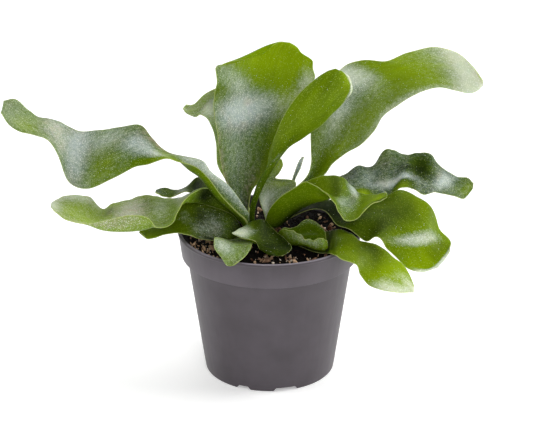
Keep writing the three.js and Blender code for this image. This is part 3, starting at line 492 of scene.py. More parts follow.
makeFrond({
    "node": "frond_lower_left", "slot": "frond_silvery", "stem": 2, "waves": 6, "ruffle": 0.5, "upper": -1,
    "silver": [(0.1, 0.3), (0.64, 0.4, 0.05, 0.5, 0.5), (0.5, 0.3, 0.05, 0.5, 0.2),
               (0.72, -0.85, 0.11, 0.3, 0.55), (0.98, 0, 0.05, 1.2, 0.6), (0.38, 0.9, 0.05, 0.3, 0.4),
               (0.86, 0.9, 0.08, 0.2, 0.4)],
    "lime": [(0.45, 0.9), (0.72, -0.85, 0.11, 0.3, 0.9), (0.82, -0.3, 0.06, 1, 0.4),
             (0.73, 0.7, 0.04, 0.4, 0.6)],
    "dark": [(0.1, 0), (0.23, -0.7, 0.07, 0.6, 0.9), (0.715, 0.5, 0.03, 0.25, 0.6),
             (0.57, 0.6, 0.03, 0.4, 0.3), (0.47, -0.4, 0.06, 0.3, 0.3)],
    "tan": [(0, 0), (0.63, 0.4, 0.06, 0.5, 0.5), (0.72, -0.85, 0.1, 0.3, 0.3)],
    "rows": [
        [-15, -13, 3, -15.5, -13.5, 4.5, -15.5, -13, 5.5, -15, -13, 7],
        [-17, -4, 3, -18, -5, 4.5, -17.5, -4.5, 6.5, -15.5, -2, 9],
        [-24.5, 6, 1, -28, 0.5, 2, -26, 2, 5, -22, 6, 9],
        [-33.5, 14.5, 0, -38.5, 6, -3, -36, 7, 3, -31.5, 12.5, 9],
        [-42, 17.5, -5, -45.5, 8.2, -12.5, -43, 12, -1, -39, 17, 7],
        [-48.5, 15.5, -18, -52.5, 8.6, -22, -50.5, 13, -7, -45.5, 17.5, 4],
        [-55.5, 10, -27, -57, 7.5, -26, -56, 10.5, -12, -52.5, 14.5, 2],
        [-61, 1.5, -33, -61.5, 2, -26, -62, 7, -13, -59.5, 11, 2],
        [-64.5, -6.5, -35, -67.5, -4.5, -27, -68, 5, -13, -66.5, 11, 3],
        [-73.5, -8.5, -37, -74.5, -6, -28, -75, 4.5, -13, -74.5, 12.5, 3],
        [-80, -1.5, -40, -81, -9, -36, -83, 2, -16, -83, 12.5, 3],
        [-90.5, -0.5, -42, -91, -10.5, -38, -92.5, 1.5, -16, -91.5, 10.5, 2],
        [-103.5, -2.5, -42, -103, -10.5, -40, -103, 0.5, -17, -102, 8, 1],
        [-112.5, -4.5, -38, -112, -9, -38, -111.5, -2.5, -18, -110, 3.5, 0],
        [-122, -6, -32, -121, -5, -30, -122, 1.5, -18, -118, 12, -4],
        [-132.5, -3.5, -28, -131.5, -0.5, -24, -131.5, 5, -16, -129.5, 13, -4],
        [-141, 2.5, -24, -140, 4, -20, -139.5, 6.5, -15, -137.5, 11, -6],
        [-143.5, 5, -20, -143.5, 6, -18, -143.5, 7, -15, -142, 9, -10],
    ],
})
makeFrond({
    "node": "frond_left_under", "slot": "frond_silvery", "stem": 2, "waves": 3, "ruffle": 0.6, "upper": -1,
    "silver": [(0.05, -0.1), (0.34, -0.1, 0.1, 0.9, 0.33), (0.47, -0.5, 0.08, 0.6, 0.25),
               (0.56, 0.25, 0.05, 0.5, 0.25)],
    "lime": [(0, 1), (0.82, -0.3, 0.12, 1, 0.5)],
    "dark": [(1, 0.15), (0.44, 0.1, 0.06, 0.7, 0.25), (0.4, -0.95, 0.1, 0.2, 0.3),
             (0.24, 0.1, 0.05, 1, -0.25)],
    "rows": [
        [-17, -18.5, -10, -17.5, -18, -8.5, -17, -17.5, -7],
        [-19.5, -14.5, -13, -21, -12, -11, -19, -8.5, -8],
        [-25.5, -16.5, -18, -26.5, -8.5, -13, -24.5, 0, -6], [-34.5, -17, -22, -36, -7, -14, -36, 5, -7],
        [-44, -16, -24, -45.5, -4.5, -14, -46.5, 7.9, -6.8], [-53.5, -13, -25, -56, -3.5, -14, -56, 8.8, -4],
        [-64, -12.5, -25, -66, -6.5, -14, -65.5, 0.5, -4], [-75, -14.5, -24, -76, -10.5, -15, -75, -6.5, -6],
        [-80.5, -15.5, -20, -82, -12.5, -14, -82, -8.5, -8], [-85, -12, -16, -85.5, -11, -14, -85, -10, -12],
    ],
})
makeFrond({
    "node": "frond_left_behind", "slot": "frond_silvery", "stem": 2, "waves": 3, "ruffle": 0.5, "upper": -1,
    "silver": [(-0.5, 0.25), (0.64, -0.2, 0.05, 1, 0.3)],
    "lime": [(0.5, 0.1)],
    "dark": [(0.95, 0.4), (0.5, 0, 0.07, 1, 0.35)],
    "rows": [
        [-14, -9, 13, -14, -8.5, 15, -13.5, -8.5, 17], [-22, -1.5, 15, -21.5, 0, 19, -20, 1.5, 22],
        [-31.5, 7, 16, -31.5, 10, 22, -29.5, 12.5, 28], [-40, 12.5, 17, -40, 16.5, 25, -38.5, 20.5, 33],
        [-48.5, 14, 17, -48.5, 18.5, 27, -46.5, 24.5, 37], [-55.5, 15, 18, -56, 16.5, 28, -55, 18.5, 37],
        [-63.5, 12, 19, -63.5, 14.5, 28, -62, 16.5, 36], [-70.5, 12.5, 22, -70.5, 15.5, 28, -70, 17.5, 34],
        [-75, 14.5, 25, -75, 15, 27, -74.5, 16.5, 29],
    ],
})
makeFrond({
    "node": "frond_front_left", "slot": "frond_silvery", "stem": 1.8, "waves": 2, "ruffle": 0.4, "upper": 1,
    "silver": [(0.19, 0.25), (0.6, -0.5, 0.15, 0.5, 0.35)],
    "lime": [(0.45, 0.55)],
    "dark": [(0.2, 0.1), (0.34, 0.2, 0.06, 1, 0.7), (0.95, 0.4, 0.1, 0.6, 0.4), (0.7, 0.7, 0.3, 0.2, 0.3)],
    "rows": [
        [-14, -18.5, -12, -13, -18.5, -12.5, -11.5, -18.5, -12],
        [-18, -15.5, -20, -15.5, -15, -19, -13, -15.5, -19],
        [-26.5, -17, -29, -21.5, -16.5, -28, -15.5, -17, -27],
        [-35, -14.5, -40, -24, -18.5, -38, -11.5, -16.5, -33],
        [-36.5, -17, -44, -24.5, -21.5, -47, -11.5, -19.5, -42],
        [-36, -22.5, -51, -24.5, -26, -55, -13.5, -23.5, -51],
        [-32, -27.5, -57, -24.5, -30, -60, -17, -28, -57],
        [-28.5, -33, -61.5, -25.5, -33.5, -62, -22, -32, -61.5],
    ],
})
makeFrond({
    "node": "frond_front_centre", "slot": "frond_green", "stem": 1.8, "waves": 2, "ruffle": 0.4, "upper": 1,
    "silver": [(-0.2, -0.3), (0.5, -0.8, 0.16, 0.55, 1.1), (0.45, -0.1, 0.07, 0.4, 0.3)],
    "lime": [(0.25, 0.3), (0.5, -0.7, 0.15, 0.5, 0.5)],
    "dark": [(0.7, 0.75), (0.5, -0.7, 0.18, 0.5, -0.8), (0.6, 0.9, 0.3, 0.3, 0.2), (0.75, 0, 0.1, 1, 0.2)],
    "rows": [
        [-7.5, -17, -9, -6.5, -17, -9.5, -4.5, -17, -9], [-9, -10.5, -11, -7, -10.5, -12, -4.5, -10.5, -11],
        [-11, -4.5, -13, -7, -3.5, -15, -3, -4, -13], [-16, -7, -18, -7.5, -6.5, -21, 0, -6.5, -18],
        [-22, -10, -30, -8.5, -11, -29, 3, -10, -23], [-24.5, -12, -36, -7.5, -15.5, -36, 7.5, -14, -29],
        [-17.5, -15.5, -39, -5, -19, -41, 12, -17.5, -35],
        [-9.5, -17.5, -43, -1, -21.5, -45, 14.5, -21, -40],
        [-6.5, -22.5, -45, 1.5, -24.5, -47, 12.5, -24.5, -44], [-1, -26, -47, 3.5, -27, -48, 8, -27, -47],
    ],
})
makeFrond({
    "node": "frond_young_cup", "slot": "frond_green", "stem": 1.6, "waves": 7, "ruffle": 0.8, "upper": 1,
    "silver": [(0, 0), (0.6, 0.85, 0.4, 0.3, 0.35), (0.7, -0.95, 0.3, 0.12, 0.4)],
    "lime": [(0.4, 0.4), (0.6, 0.9, 0.4, 0.3, 0.2), (0.7, -0.9, 0.3, 0.2, 0.3)],
    "dark": [(0.4, 0.35), (0.6, 0.85, 0.5, 0.3, -0.3)],
    "rows": [
        [3, -16.5, -9, 2, -17, -10, 1.5, -18.5, -12, 1.8, -16.5, -12.5],
        [8.5, -8.6, -12, 7.8, -12.5, -12.5, 7, -13.2, -17, 7.6, -9.6, -18.5],
        [13, -8.6, -12.5, 12.4, -14, -14, 11.8, -18.4, -22, 12.2, -9.8, -24],
        [18, -7.2, -12.5, 17.7, -15, -15, 17.6, -19.6, -27, 17.7, -11.4, -29.5],
        [22.8, -3.2, -12, 22.8, -15, -15, 23.3, -20, -31, 23, -15.3, -34],
        [28.3, -3.4, -12, 28.5, -15, -15, 29, -22.2, -34.5, 28.6, -16.4, -36.5],
        [33.5, -7.2, -13, 33.7, -15.5, -16, 34.6, -23.4, -36.5, 34, -15, -37.5],
        [36.8, -11.5, -16, 37.2, -16.5, -20, 37.9, -21.5, -32, 37.2, -16.8, -33.5],
    ],
})
makeFrond({
    "node": "frond_lower_right", "slot": "frond_green", "stem": 1.6, "waves": 4, "ruffle": 0.7, "upper": 1,
    "silver": [(-0.3, -0.2), (0.5, 0.35, 0.05, 0.4, 0.45), (0.88, -0.9, 0.12, 0.45, 0.8),
               (1.02, 0, 0.09, 1.2, 1), (0.84, -0.3, 0.06, 0.5, 0.3), (0.9, 0.2, 0.05, 0.4, 0.3)],
    "lime": [(0.3, 0.85), (0.8, -0.2, 0.08, 0.5, 0.3), (0.62, -0.5, 0.08, 0.5, 0.3),
             (0.95, 0, 0.1, 1.2, 0.5)],
    "dark": [(0.9, -0.05), (0.74, 0.75, 0.12, 0.35, 0.45), (0.67, 0.1, 0.08, 0.9, 0.25),
             (0.76, 0.1, 0.04, 0.5, 0.3)],
    "rows": [
        [5, -18.5, -6, 5, -17.5, -4, 5.5, -17, -2], [8.5, -16.5, -8, 8.5, -14.5, -4, 9.5, -13, 0],
        [14, -18.5, -14, 14, -15, -6, 14.5, -12.5, 1], [22, -21.5, -22, 22, -17, -10, 22.5, -12, 1],
        [30.5, -24.5, -30, 30.5, -18.5, -15, 31, -11, 0], [37, -25.5, -36, 37, -19.5, -18, 37.5, -10.5, -2],
        [40, -25.5, -45, 41, -19, -25, 41, -10, -6], [43.5, -26, -50, 45, -18.5, -33, 45.5, -10, -13],
        [48.5, -30, -51, 51.5, -21, -39, 53.5, -12, -19], [56.5, -33, -51, 58.5, -24.5, -41, 60, -16.5, -26],
        [60, -39.5, -53, 64.5, -29.5, -43, 66.5, -18.5, -30],
        [66, -46.5, -55, 71.5, -35, -45, 73.5, -21.5, -32],
        [75.5, -50, -56, 79.5, -38.5, -46, 81.5, -27.5, -35], [85, -51, -54, 87, -42.5, -47, 89, -34, -39],
        [94.5, -50.5, -50, 94.5, -49, -49, 94.5, -46.5, -47],
    ],
})
makeFrond({
    "node": "frond_right_arch", "slot": "frond_green", "stem": 2, "waves": 4, "ruffle": 0.6, "upper": 1,
    "silver": [(-0.1, 0), (0.58, -0.4, 0.05, 0.5, 0.35), (0.66, 0.8, 0.06, 0.3, 0.45),
               (0.66, 0, 0.07, 1.2, 0.3), (0.95, 0.9, 0.06, 0.3, 0.6)],
    "lime": [(0.5, 0.5), (0.65, 0, 0.07, 1.2, -0.2), (0.4, 0.2, 0.06, 0.8, 0.5),
             (0.86, -0.2, 0.08, 0.8, 0.5)],
    "dark": [(0.25, 0.25), (0.52, 0.3, 0.04, 1, 0.3), (0.66, 0.1, 0.025, 0.35, 0.3),
             (0.92, -0.9, 0.06, 0.4, 0.6), (0.24, -0.15, 0.14, 0.25, 0.6), (0.15, 0.6, 0.25, 0.6, 0.7)],
    "rows": [
        [-5, -13, 1, -4.5, -14, 3, -3.5, -13, 5], [-3, -4, -3, -1, -8, 1, -1, -4.5, 5],
        [0, 4, -8, 5, -7.5, -3, 2, 3.5, 6], [7, 12, -12, 12.5, -2.2, -6, 8.5, 10.5, 6],
        [15.5, 17.5, -16, 20.5, 4, -9, 17.5, 16.5, 6], [23, 21.5, -20, 29, 8, -12, 26, 23, 6],
        [31, 18.5, -25, 36.5, 10, -14, 33.5, 25.5, 5], [37.5, 14.5, -30, 42, 12, -16, 41, 25.5, 4],
        [42, 8, -34, 47.5, 12, -18, 48, 24.5, 2], [45, 1.5, -37, 52.5, 8.5, -20, 54, 19.5, 0],
        [50.5, -3.5, -38, 58, 6, -21, 58.5, 14.5, -3], [58, -1.5, -36, 63, 8, -20, 64, 13, -6],
        [66, 6, -30, 69, 10.5, -20, 70.5, 14, -9], [72.5, 9, -24, 74.5, 12, -18, 75, 15.5, -12],
        [76.5, 12, -19, 77, 13, -17, 76.5, 14.5, -15],
    ],
})
makeFrond({
    "node": "frond_right_broad", "slot": "frond_green", "stem": 2, "waves": 4, "ruffle": 0.8, "upper": 1,
    "silver": [(-0.3, -0.2), (0.77, -0.05, 0.06, 0.9, 0.85, 0.12), (1, -0.3, 0.04, 1.5, 1.3),
               (0.94, -1, 0.08, 0.2, 1.2)],
    "lime": [(0.2, 0.7), (0.86, -0.4, 0.06, 0.7, 0.3), (0.72, 0.9, 0.04, 0.3, 0.6)],
    "dark": [(1.2, -0.2), (0.35, -0.3, 0.15, 1, 0.3), (0.58, -0.6, 0.06, 0.5, 0.3),
             (0.67, 0.5, 0.07, 0.7, 0.35, 0.1), (0.86, 0.2, 0.06, 0.6, 0.3),
             (0.77, -0.05, 0.06, 0.9, -0.1, 0.12), (0.92, 0.2, 0.07, 0.8, 0.35)],
    "rows": [
        [0, -12, 7, 1, -11, 9, 1.5, -10.5, 11], [7, -6, 5, 7, -4, 9, 8, -2, 13],
        [17.5, 0, 2, 17.5, 2.5, 9, 18.5, 5, 15], [29, 4, -4, 29.5, 6.5, 6, 31, 9, 15],
        [37, 2, -10, 41, 6, 3, 44, 10, 15], [43.5, -6.5, -16, 50.5, 2, -2, 55.5, 11, 14],
        [54, -10, -21, 60.5, 1.5, -5, 66, 11, 13], [63, -17, -25, 71, -0.5, -8, 76.5, 12.5, 11],
        [71, -15, -27, 81.5, -2.5, -11, 86, 17, 9], [76.5, -21.5, -29, 90.5, -8.5, -15, 96, 12.5, 6],
        [83, -27.5, -30, 98.5, -15.5, -19, 106, 4.5, 2], [90, -35, -31, 105, -21.5, -21, 111.5, -8.5, -5],
        [100, -37.5, -30, 111, -27, -22, 118.5, -16.5, -12],
        [110.5, -34, -27, 115, -29, -23, 118.5, -23, -19],
    ],
})
makeFrond({
    "node": "frond_right_wavy", "slot": "frond_silvery", "stem": 2, "waves": 6, "ruffle": 0.8, "upper": 1,
    "silver": [(0.3, 0.2), (0.4, 0.1, 0.04, 0.4, 0.15), (0.55, -0.42, 0.12, 0.16, 0.55, -0.1),
               (0.82, 0.1, 0.04, 0.9, 0.45, 0.03), (0.68, 0.2, 0.06, 0.5, -0.3),
               (0.37, -0.85, 0.05, 0.25, -0.4), (0.6, -1, 0.05, 0.3, -1.2)],
    "lime": [(0, 0.2), (0.37, -0.85, 0.05, 0.25, 0.9), (0.96, 0, 0.06, 1, 0.6), (0.6, -1, 0.05, 0.3, 1),
             (0.46, 0.7, 0.05, 0.4, 0.4)],
    "dark": [(0.5, 0.4), (0.7, 0.1, 0.05, 0.7, 0.45), (0.48, 0.4, 0.04, 0.3, 0.3),
             (0.6, 0.05, 0.06, 0.2, 0.45), (0.31, 0.5, 0.04, 0.5, 0.4), (0.37, -0.85, 0.05, 0.25, -0.3),
             (0.96, 0, 0.06, 1, -0.2)],
    "rows": [
        [-1, -8.5, 15, -0.5, -8, 17, 0, -7, 19], [7.5, -2, 17, 8, 0.5, 21, 9.5, 2, 25],
        [19, 5, 18, 20, 9, 25, 21, 12.5, 32], [33, 10.5, 18, 33.5, 15.5, 29, 35, 21, 38],
        [47.5, 14.5, 20, 48, 20.5, 33, 49.5, 27, 44], [57.5, 13, 21, 58, 23.5, 36, 57.5, 32, 48],
        [64.5, 11, 22, 66, 23.5, 38, 66.5, 32, 50], [72.5, 9, 22, 74.5, 27, 39, 74.5, 42, 52],
        [79.5, 10.5, 23, 81.5, 27.5, 40, 81, 42.5, 53], [86, 17.3, 25, 89, 31, 41, 89.5, 40, 53],
        [93.5, 17.8, 27, 95.5, 29.5, 42, 98, 40.5, 52], [101, 13, 30, 104, 27, 42, 106, 40, 51],
        [109, 15, 33, 112.5, 23, 43, 112.5, 31.5, 50], [118.5, 13, 37, 120, 19, 44, 122, 25.5, 49],
        [127, 10.5, 41, 128, 17, 45, 130, 24.5, 48], [132.5, 16.5, 45, 133.5, 18.5, 46, 133.5, 20.5, 47],
    ],
})
makeFrond({
    "node": "frond_upper_right", "slot": "frond_silvery", "stem": 2.2, "waves": 4, "ruffle": 0.8, "upper": -1,
    "silver": [(0.3, 0.05), (0.545, -0.8, 0.05, 0.6, 0.65, 0.04), (0.4, -0.3, 0.06, 0.3, 0.2),
               (0.54, 0.1, 0.05, 0.6, 0.05), (0.96, 0, 0.13, 3, 1.4), (0.64, -0.2, 0.04, 0.6, -0.2),
               (0.22, 0.3, 0.08, 0.8, -0.25), (0.46, -0.4, 0.04, 0.35, 0.3), (0.6, 0.95, 0.2, 0.15, 0.3)],
    "lime": [(0.3, 0.85), (0.7, 0, 0.08, 1, 0.3), (0.3, 0.5, 0.1, 0.5, 0.3), (0.45, 0.6, 0.1, 0.4, 0.2),
             (0.5, -0.4, 0.05, 0.5, -0.3)],
    "dark": [(0.25, 0), (0.25, -0.5, 0.08, 0.6, 0.25)],
    "tan": [(0, 0), (0.98, 0.2, 0.06, 1.5, 0.3)],
    "rows": [
        [-3.5, -5, 21, -2.5, -5, 22, -1, -5, 21], [3, 4.5, 26, 5.5, 4.5, 28, 8, 4.5, 26],
        [13.5, 15, 33, 17.5, 15.5, 36, 21, 15.5, 32], [24, 25, 40, 29, 25.5, 44, 35, 25.5, 39],
        [27, 34, 45, 34.5, 34, 50, 41.5, 34, 44], [27, 44.5, 49, 38, 43.5, 55, 50, 40.5, 48],
        [27.5, 56, 52, 45, 53, 60, 60, 46, 52], [31.5, 70, 54, 50.5, 63.5, 64, 68.5, 55, 56],
        [37.5, 83.5, 55, 60, 74, 66, 74.5, 65, 60], [47, 96, 56, 69.5, 83.5, 68, 83.5, 71.5, 64],
        [60, 101, 58, 81.5, 91, 70, 93.5, 78, 67], [75.5, 101, 60, 94, 95, 71, 103, 82, 69],
        [90.5, 107, 62, 106.5, 96.5, 72, 112.5, 83.5, 71], [107, 110, 64, 119, 96, 73, 122, 81.5, 73],
        [121.5, 106.5, 67, 129.5, 94, 75, 131.5, 80, 75],
        [132.5, 98.5, 70, 136.5, 90.5, 76, 137.5, 82.5, 76], [139.5, 89, 74, 140, 86.5, 77, 139.5, 84, 77],
    ],
})
makeFrond({
    "node": "frond_upright_strap", "slot": "frond_green", "stem": 2, "waves": 3, "ruffle": 0.5, "upper": -1,
    "silver": [(-0.1, -0.1), (0.98, 1, 0.08, 0.3, 1.5), (0.86, 1, 0.08, 0.1, 1.1),
               (0.42, 0.3, 0.02, 0.9, 0.35, 0.04)],
    "lime": [(0.05, 0.45), (0.62, -0.3, 0.2, 1, 0.3), (0.92, 0.8, 0.1, 0.4, 0.6)],
    "dark": [(0.6, 0), (0.85, 0.2, 0.08, 0.6, 0.15)],
    "tan": [(0, 0), (0.98, 0.9, 0.06, 0.3, 0.5)],
    "rows": [
        [-9.5, -15.5, -2, -8.5, -15.5, -3, -7.5, -15.5, -2], [-12.5, -6, -3, -11.5, -6, -4, -10, -6, -3],
        [-13, 3.5, -4, -11.3, 3.5, -5, -9.6, 3.5, -4], [-11, 12, -6, -9.2, 12, -8, -7, 12.5, -6],
        [-7.6, 21.5, -7, -4.8, 22.3, -10, -1.8, 23, -8], [-1.8, 32, -9, 1, 33, -13, 5.6, 35, -9],
        [0, 42.5, -12, 4.6, 42.5, -17, 12, 44, -11], [3.5, 52, -16, 10.5, 52, -21, 22, 51, -14],
        [8.5, 63.5, -20, 19, 61.5, -25, 32.5, 57.5, -17], [14.5, 73.5, -23, 27, 71, -28, 42, 66.5, -20],
        [22, 82.5, -25, 34.5, 79.5, -30, 49.5, 75, -23], [29.5, 89, -26, 41, 86.5, -30, 54, 82, -25],
        [37, 94, -27, 45, 92, -29, 52.5, 90, -26], [43, 96, -27, 45.5, 95, -28, 48, 94, -27],
    ],
})
makeFrond({
    "node": "frond_central_fan", "slot": "frond_silvery", "stem": 2, "waves": 4, "ruffle": 0.9, "upper": -1,
    "scallop": (0.8, 9.5, 0.5, 0.72, 0.06),
    "silver": [(0.3, -0.05), (0.575, -0.15, 0.075, 0.75, 0.7, 0.03), (0.4, -0.35, 0.12, 0.6, 0.17),
               (0.69, -0.35, 0.05, 0.3, 0.3), (0.75, -0.75, 0.07, 0.4, 0.28), (0.3, 0.95, 0.2, 0.2, -0.3),
               (0.6, 0.9, 0.06, 0.3, 0.12), (0.74, 0.9, 0.08, 0.16, 0.45)],
    "lime": [(0, 0.8), (0.56, -0.15, 0.09, 0.9, -0.55, 0.03), (0.88, 0.2, 0.12, 0.8, 0.6),
             (0.74, -0.8, 0.08, 0.45, -0.3), (0.62, 0.8, 0.07, 0.4, 0.5), (0.32, 0.95, 0.25, 0.2, 0.2)],
    "dark": [(0.3, -0.1), (0.13, 0.5, 0.05, 0.6, 0.5), (0.655, -0.85, 0.04, 0.25, 0.3),
             (0.38, 0.5, 0.1, 0.3, 0.1), (0.22, -0.9, 0.12, 0.2, 0.3)],
    "tan": [(0, 0), (0.22, 0.6, 0.1, 0.35, 0.35), (0.3, -1, 0.2, 0.12, 0.4)],
    "rows": [
        [-13.5, -10, 10, -12.5, -10, 11, -11, -10, 10], [-17, 0.5, 11, -15, 0.5, 12, -13.5, 0.5, 11],
        [-21.5, 8.5, 12, -17, 9, 14, -13.2, 9, 12], [-26, 16.5, 12, -19, 17, 17, -10.9, 17, 14],
        [-30, 25.5, 11, -18, 27, 20, -3.8, 25.5, 17], [-32.5, 39.5, 10, -16, 39.5, 24, 1.5, 39.5, 20],
        [-34.5, 52, 8, -15.5, 51, 26, 6.5, 50.5, 23], [-36.5, 64.5, 6, -14, 63.5, 27, 12, 62.5, 26],
        [-36, 76, 5, -12.5, 75.5, 27, 19, 73.5, 28], [-35, 86, 5, -10.5, 86, 27, 26, 82.5, 30],
        [-35.5, 97, 7, -8.5, 96.5, 27, 29.5, 91, 30], [-30.5, 98.4, 11, -5, 105.5, 27, 27.8, 100.8, 30],
        [-18, 101.8, 16, 0, 111, 27, 21, 107, 29], [-4.5, 105.8, 22, 5, 113, 27, 13.5, 113, 28],
    ],
})
makeFrond({
    "node": "frond_back_left", "slot": "frond_green", "stem": 2, "waves": 3, "ruffle": 0.6, "upper": -1,
    "silver": [(0.15, 0.43), (0.68, -0.3, 0.06, 0.5, 0.65, 0.03)],
    "lime": [(0.5, 0.8), (0.77, 0.8, 0.06, 0.4, 0.5), (0.92, 0, 0.1, 1, 0.3)],
    "rows": [
        [-11, -7, 17, -10, -7, 18, -9, -7, 17], [-19.5, 9, 24, -17.5, 9, 27, -15.5, 9, 24],
        [-28.5, 22.5, 31, -25.5, 23.5, 35, -21, 24.5, 31], [-34.5, 33.5, 37, -29.5, 35.5, 43, -22, 36.5, 38],
        [-35, 44.5, 41, -28, 47, 49, -19.5, 49, 43], [-36, 52.5, 45, -26.5, 58.5, 54, -17.5, 63.5, 48],
        [-40, 61.5, 48, -29.5, 69.5, 57, -21, 77, 53], [-45, 65.5, 50, -37, 75, 57, -31.5, 83.5, 55],
        [-49.5, 64.5, 52, -45.5, 71, 56, -42.5, 79.5, 55], [-55, 67, 53, -52.5, 69.5, 55, -49.5, 73, 55],
        [-57, 69.5, 53, -56, 71, 54, -55, 72, 54],
    ],
})
makeFrond({
    "node": "frond_back_small", "slot": "frond_silvery", "stem": 1.6, "waves": 2, "ruffle": 0.3, "upper": -1,
    "silver": [(0.45, 0.2), (0.25, -0.4, 0.12, 0.5, 0.45)],
    "lime": [(0.5, 0.7), (0.5, 0.2, 0.06, 0.6, 0.5), (0.85, 0.3, 0.1, 0.6, 0.5)],
    "forkLook": {"silver": [(0.1, 0.9)], "lime": [(0.3, -0.3)]},
    "rows": [
        [-2, -9, 12, -1, -9, 13, 0, -9, 12], [-3.5, 0, 14, -0.5, 0.5, 15, 2.5, 1, 14],
        [-6.4, 8.5, 15, -0.5, 9, 18, 8, 9.5, 15.5], [-7, 15, 16, 4, 15.5, 19.5, 15.8, 16, 16.5],
        [-5.2, 20.5, 17, 5, 21, 19.5, 16.3, 22.3, 17], [-3.4, 24.5, 17.5, 0.5, 24.3, 18.5, 4.2, 23.8, 18],
        [-1, 28.5, 18, 2.5, 28.5, 18.5, 6.2, 27.5, 18], [2.5, 33.5, 18.5, 5.5, 33.7, 18.5, 8.7, 32.5, 18.5],
        [5.5, 37, 19, 6.7, 37.3, 19, 8, 36, 19],
    ],
    "fork": [
        [12.2, 16, 17.6, 14, 16.2, 18, 15.6, 16.5, 17.6], [14.6, 23, 17.6, 15.8, 23.3, 18, 16.9, 23.6, 17.6],
        [17, 30, 18.2, 18.6, 30.3, 18.6, 20.2, 30.6, 18.2],
        [19.2, 35.3, 19, 20.5, 35.6, 19.2, 21.8, 35.8, 19],
        [21.4, 38, 19.2, 22, 38.2, 19.3, 22.6, 38.1, 19.2],
    ],
})
print("fronds ready")

# Pot: moulded polypropylene, one injection-moulded shell with a satin, faintly grained skin.
pot = {
    "rimHeight": 98.5, "rimRadius": 60.5, "lipWidth": 2.2, "beadHeight": 1.8,
    "collarFoot": 81.0, "collarFootRadius": 58.0,
    "bodyTopRadius": 54.6, "bodyFootRadius": 43.0, "bodyRings": (4.2, 12.0, 30.0, 55.0, 79.0),
    "wall": 1.2, "cornerRadius": 2.4,
    "footHeight": 2.6, "footWidth": 3.4, "footPairs": 3,
    "notches": [(14.2, 17.0), (-23.6, 8.7)],  # middle and width of each, degrees from the front
    "notchSlope": 0.7,  # sideways for each mm down
    "drainRadius": 5.0, "drainCircle": 27.0, "drainSides": 32,
    "sides": 180,
    "nickAngle": -4.2, "nickWidth": 0.9, "nickDepth": 0.25,  # degrees and mm: a moulding nick on the lip
    # the lip carries a painted highlight, the collar's foot is a little paler, and the nick is worn pale
    "lipHighlight": 0.9, "footPaling": 0.15, "nickWear": 0.8,
    "lipEdge": (0.45, 0.05), "lipInside": 0.2, "footWithin": 1.0,  # mm: where the lip's painted highlight lies, and how near the collar's foot the skin is paler
    "skin": "#393238", "pale": "#7a737c",
    "grain": 0.35, "cloud": 22, "streak": 3, "streakFlat": 0.06,  # mm, and how flat streaks are sampled
}


def roundedLine(corners, steps=4, most=0.45):  # a profile whose corners, given with a radius, are rounded
    line = []
    for k, (x, y, radius) in enumerate(corners):
        here = Vector((x, y))
        if radius == 0 or k in (0, len(corners) - 1):
            line.append(here)
            continue
        toLast, toNext = Vector(corners[k - 1][:2]) - here, Vector(corners[k + 1][:2]) - here
        reach = min(radius, toLast.length * most, toNext.length * most)
        start, end = here + toLast.normalized() * reach, here + toNext.normalized() * reach
        for t in (step / steps for step in range(steps + 1)):
            line.append(start * (1 - t) ** 2 + here * 2 * t * (1 - t) + end * t ** 2)
    return line


def cutAway(piece, vertices, faces):  # takes a closed shape out of a piece
    cutter = newPiece("cutter", vertices, faces, piece.data.materials[0])
    cut = piece.modifiers.new("cut", "BOOLEAN")
    cut.operation, cut.solver, cut.object = "DIFFERENCE", "EXACT", cutter
    settle(piece)
    bpy.data.objects.remove(cutter)


def innerRadius(height):  # of the body's tapered wall
    part = height / pot["collarFoot"]
    return pot["bodyFootRadius"] + (pot["bodyTopRadius"] - pot["bodyFootRadius"]) * part - pot["wall"]


def makePot():
    rim, brim, collar, wall = pot["rimHeight"], pot["rimRadius"], pot["collarFoot"], pot["wall"]
    floorTop, lip = pot["footHeight"] + wall, brim - pot["lipWidth"]
    innerFoot = pot["bodyFootRadius"] - pot["footWidth"]
    outer = [(innerRadius(height) + wall, height, 0) for height in pot["bodyRings"]]
    profile = roundedLine([  # radius, height and rounding of each corner, in mm
        (0.0, pot["footHeight"], 0), (innerFoot, pot["footHeight"], 0), (innerFoot, 0.0, 0.3),
        (pot["bodyFootRadius"] - 0.1, 0.0, 1.0), *outer, (pot["bodyTopRadius"], collar, 0.5),
        (pot["collarFootRadius"], collar, 0.5), (brim - 0.5, rim - pot["beadHeight"] - 0.3, 0.4),
        (brim, rim - pot["beadHeight"] + 0.2, 0.3), (brim - 0.1, rim, 0.8), (lip, rim, 0.5),
        (pot["collarFootRadius"] - wall, collar + wall, 0.5), (innerRadius(collar), collar + wall, 0.4),
        (innerRadius(floorTop), floorTop, pot["cornerRadius"]), (0.0, floorTop, 0),
    ])
    nick, within = pot["nickAngle"], pot["footWithin"]
    even = [side * 360 / pot["sides"] for side in range(pot["sides"])]
    fine = [nick % 360 + pot["nickWidth"] * k / 3 for k in (-2, -1, 0, 1, 2)]
    vertices, wearAndHighlight = [], []
    for angle in sorted(even + fine):
        atNick = max(0.0, 1 - abs((angle - nick + 180) % 360 - 180) / pot["nickWidth"])
        turn = math.radians(angle - 90)
        for radius, height in profile:
            onLip = smoothStep(height, *(rim - below for below in pot["lipEdge"]))
            onLip = onLip * (radius > lip - pot["lipInside"])
            onFoot = float(abs(height - collar) < within and radius > pot["bodyTopRadius"] + within)
            out = radius + pot["nickDepth"] * atNick * onLip
            vertices.append(atAxis(out * math.cos(turn), out * math.sin(turn), height))
            # a painted highlight along the lip, a little paler along the collar's foot, and wear at the nick
            wearAndHighlight.append(min(1.0, pot["lipHighlight"] * onLip + pot["footPaling"] * onFoot
                            + pot["nickWear"] * atNick * onLip))
    rows, faces = len(profile), []
    for k in range(0, len(vertices), rows):
        a, b = k, (k + rows) % len(vertices)
        faces += [(b + row, b + row + 1, a + row + 1, a + row) for row in range(rows - 1)]
    return vertices, faces, wearAndHighlight


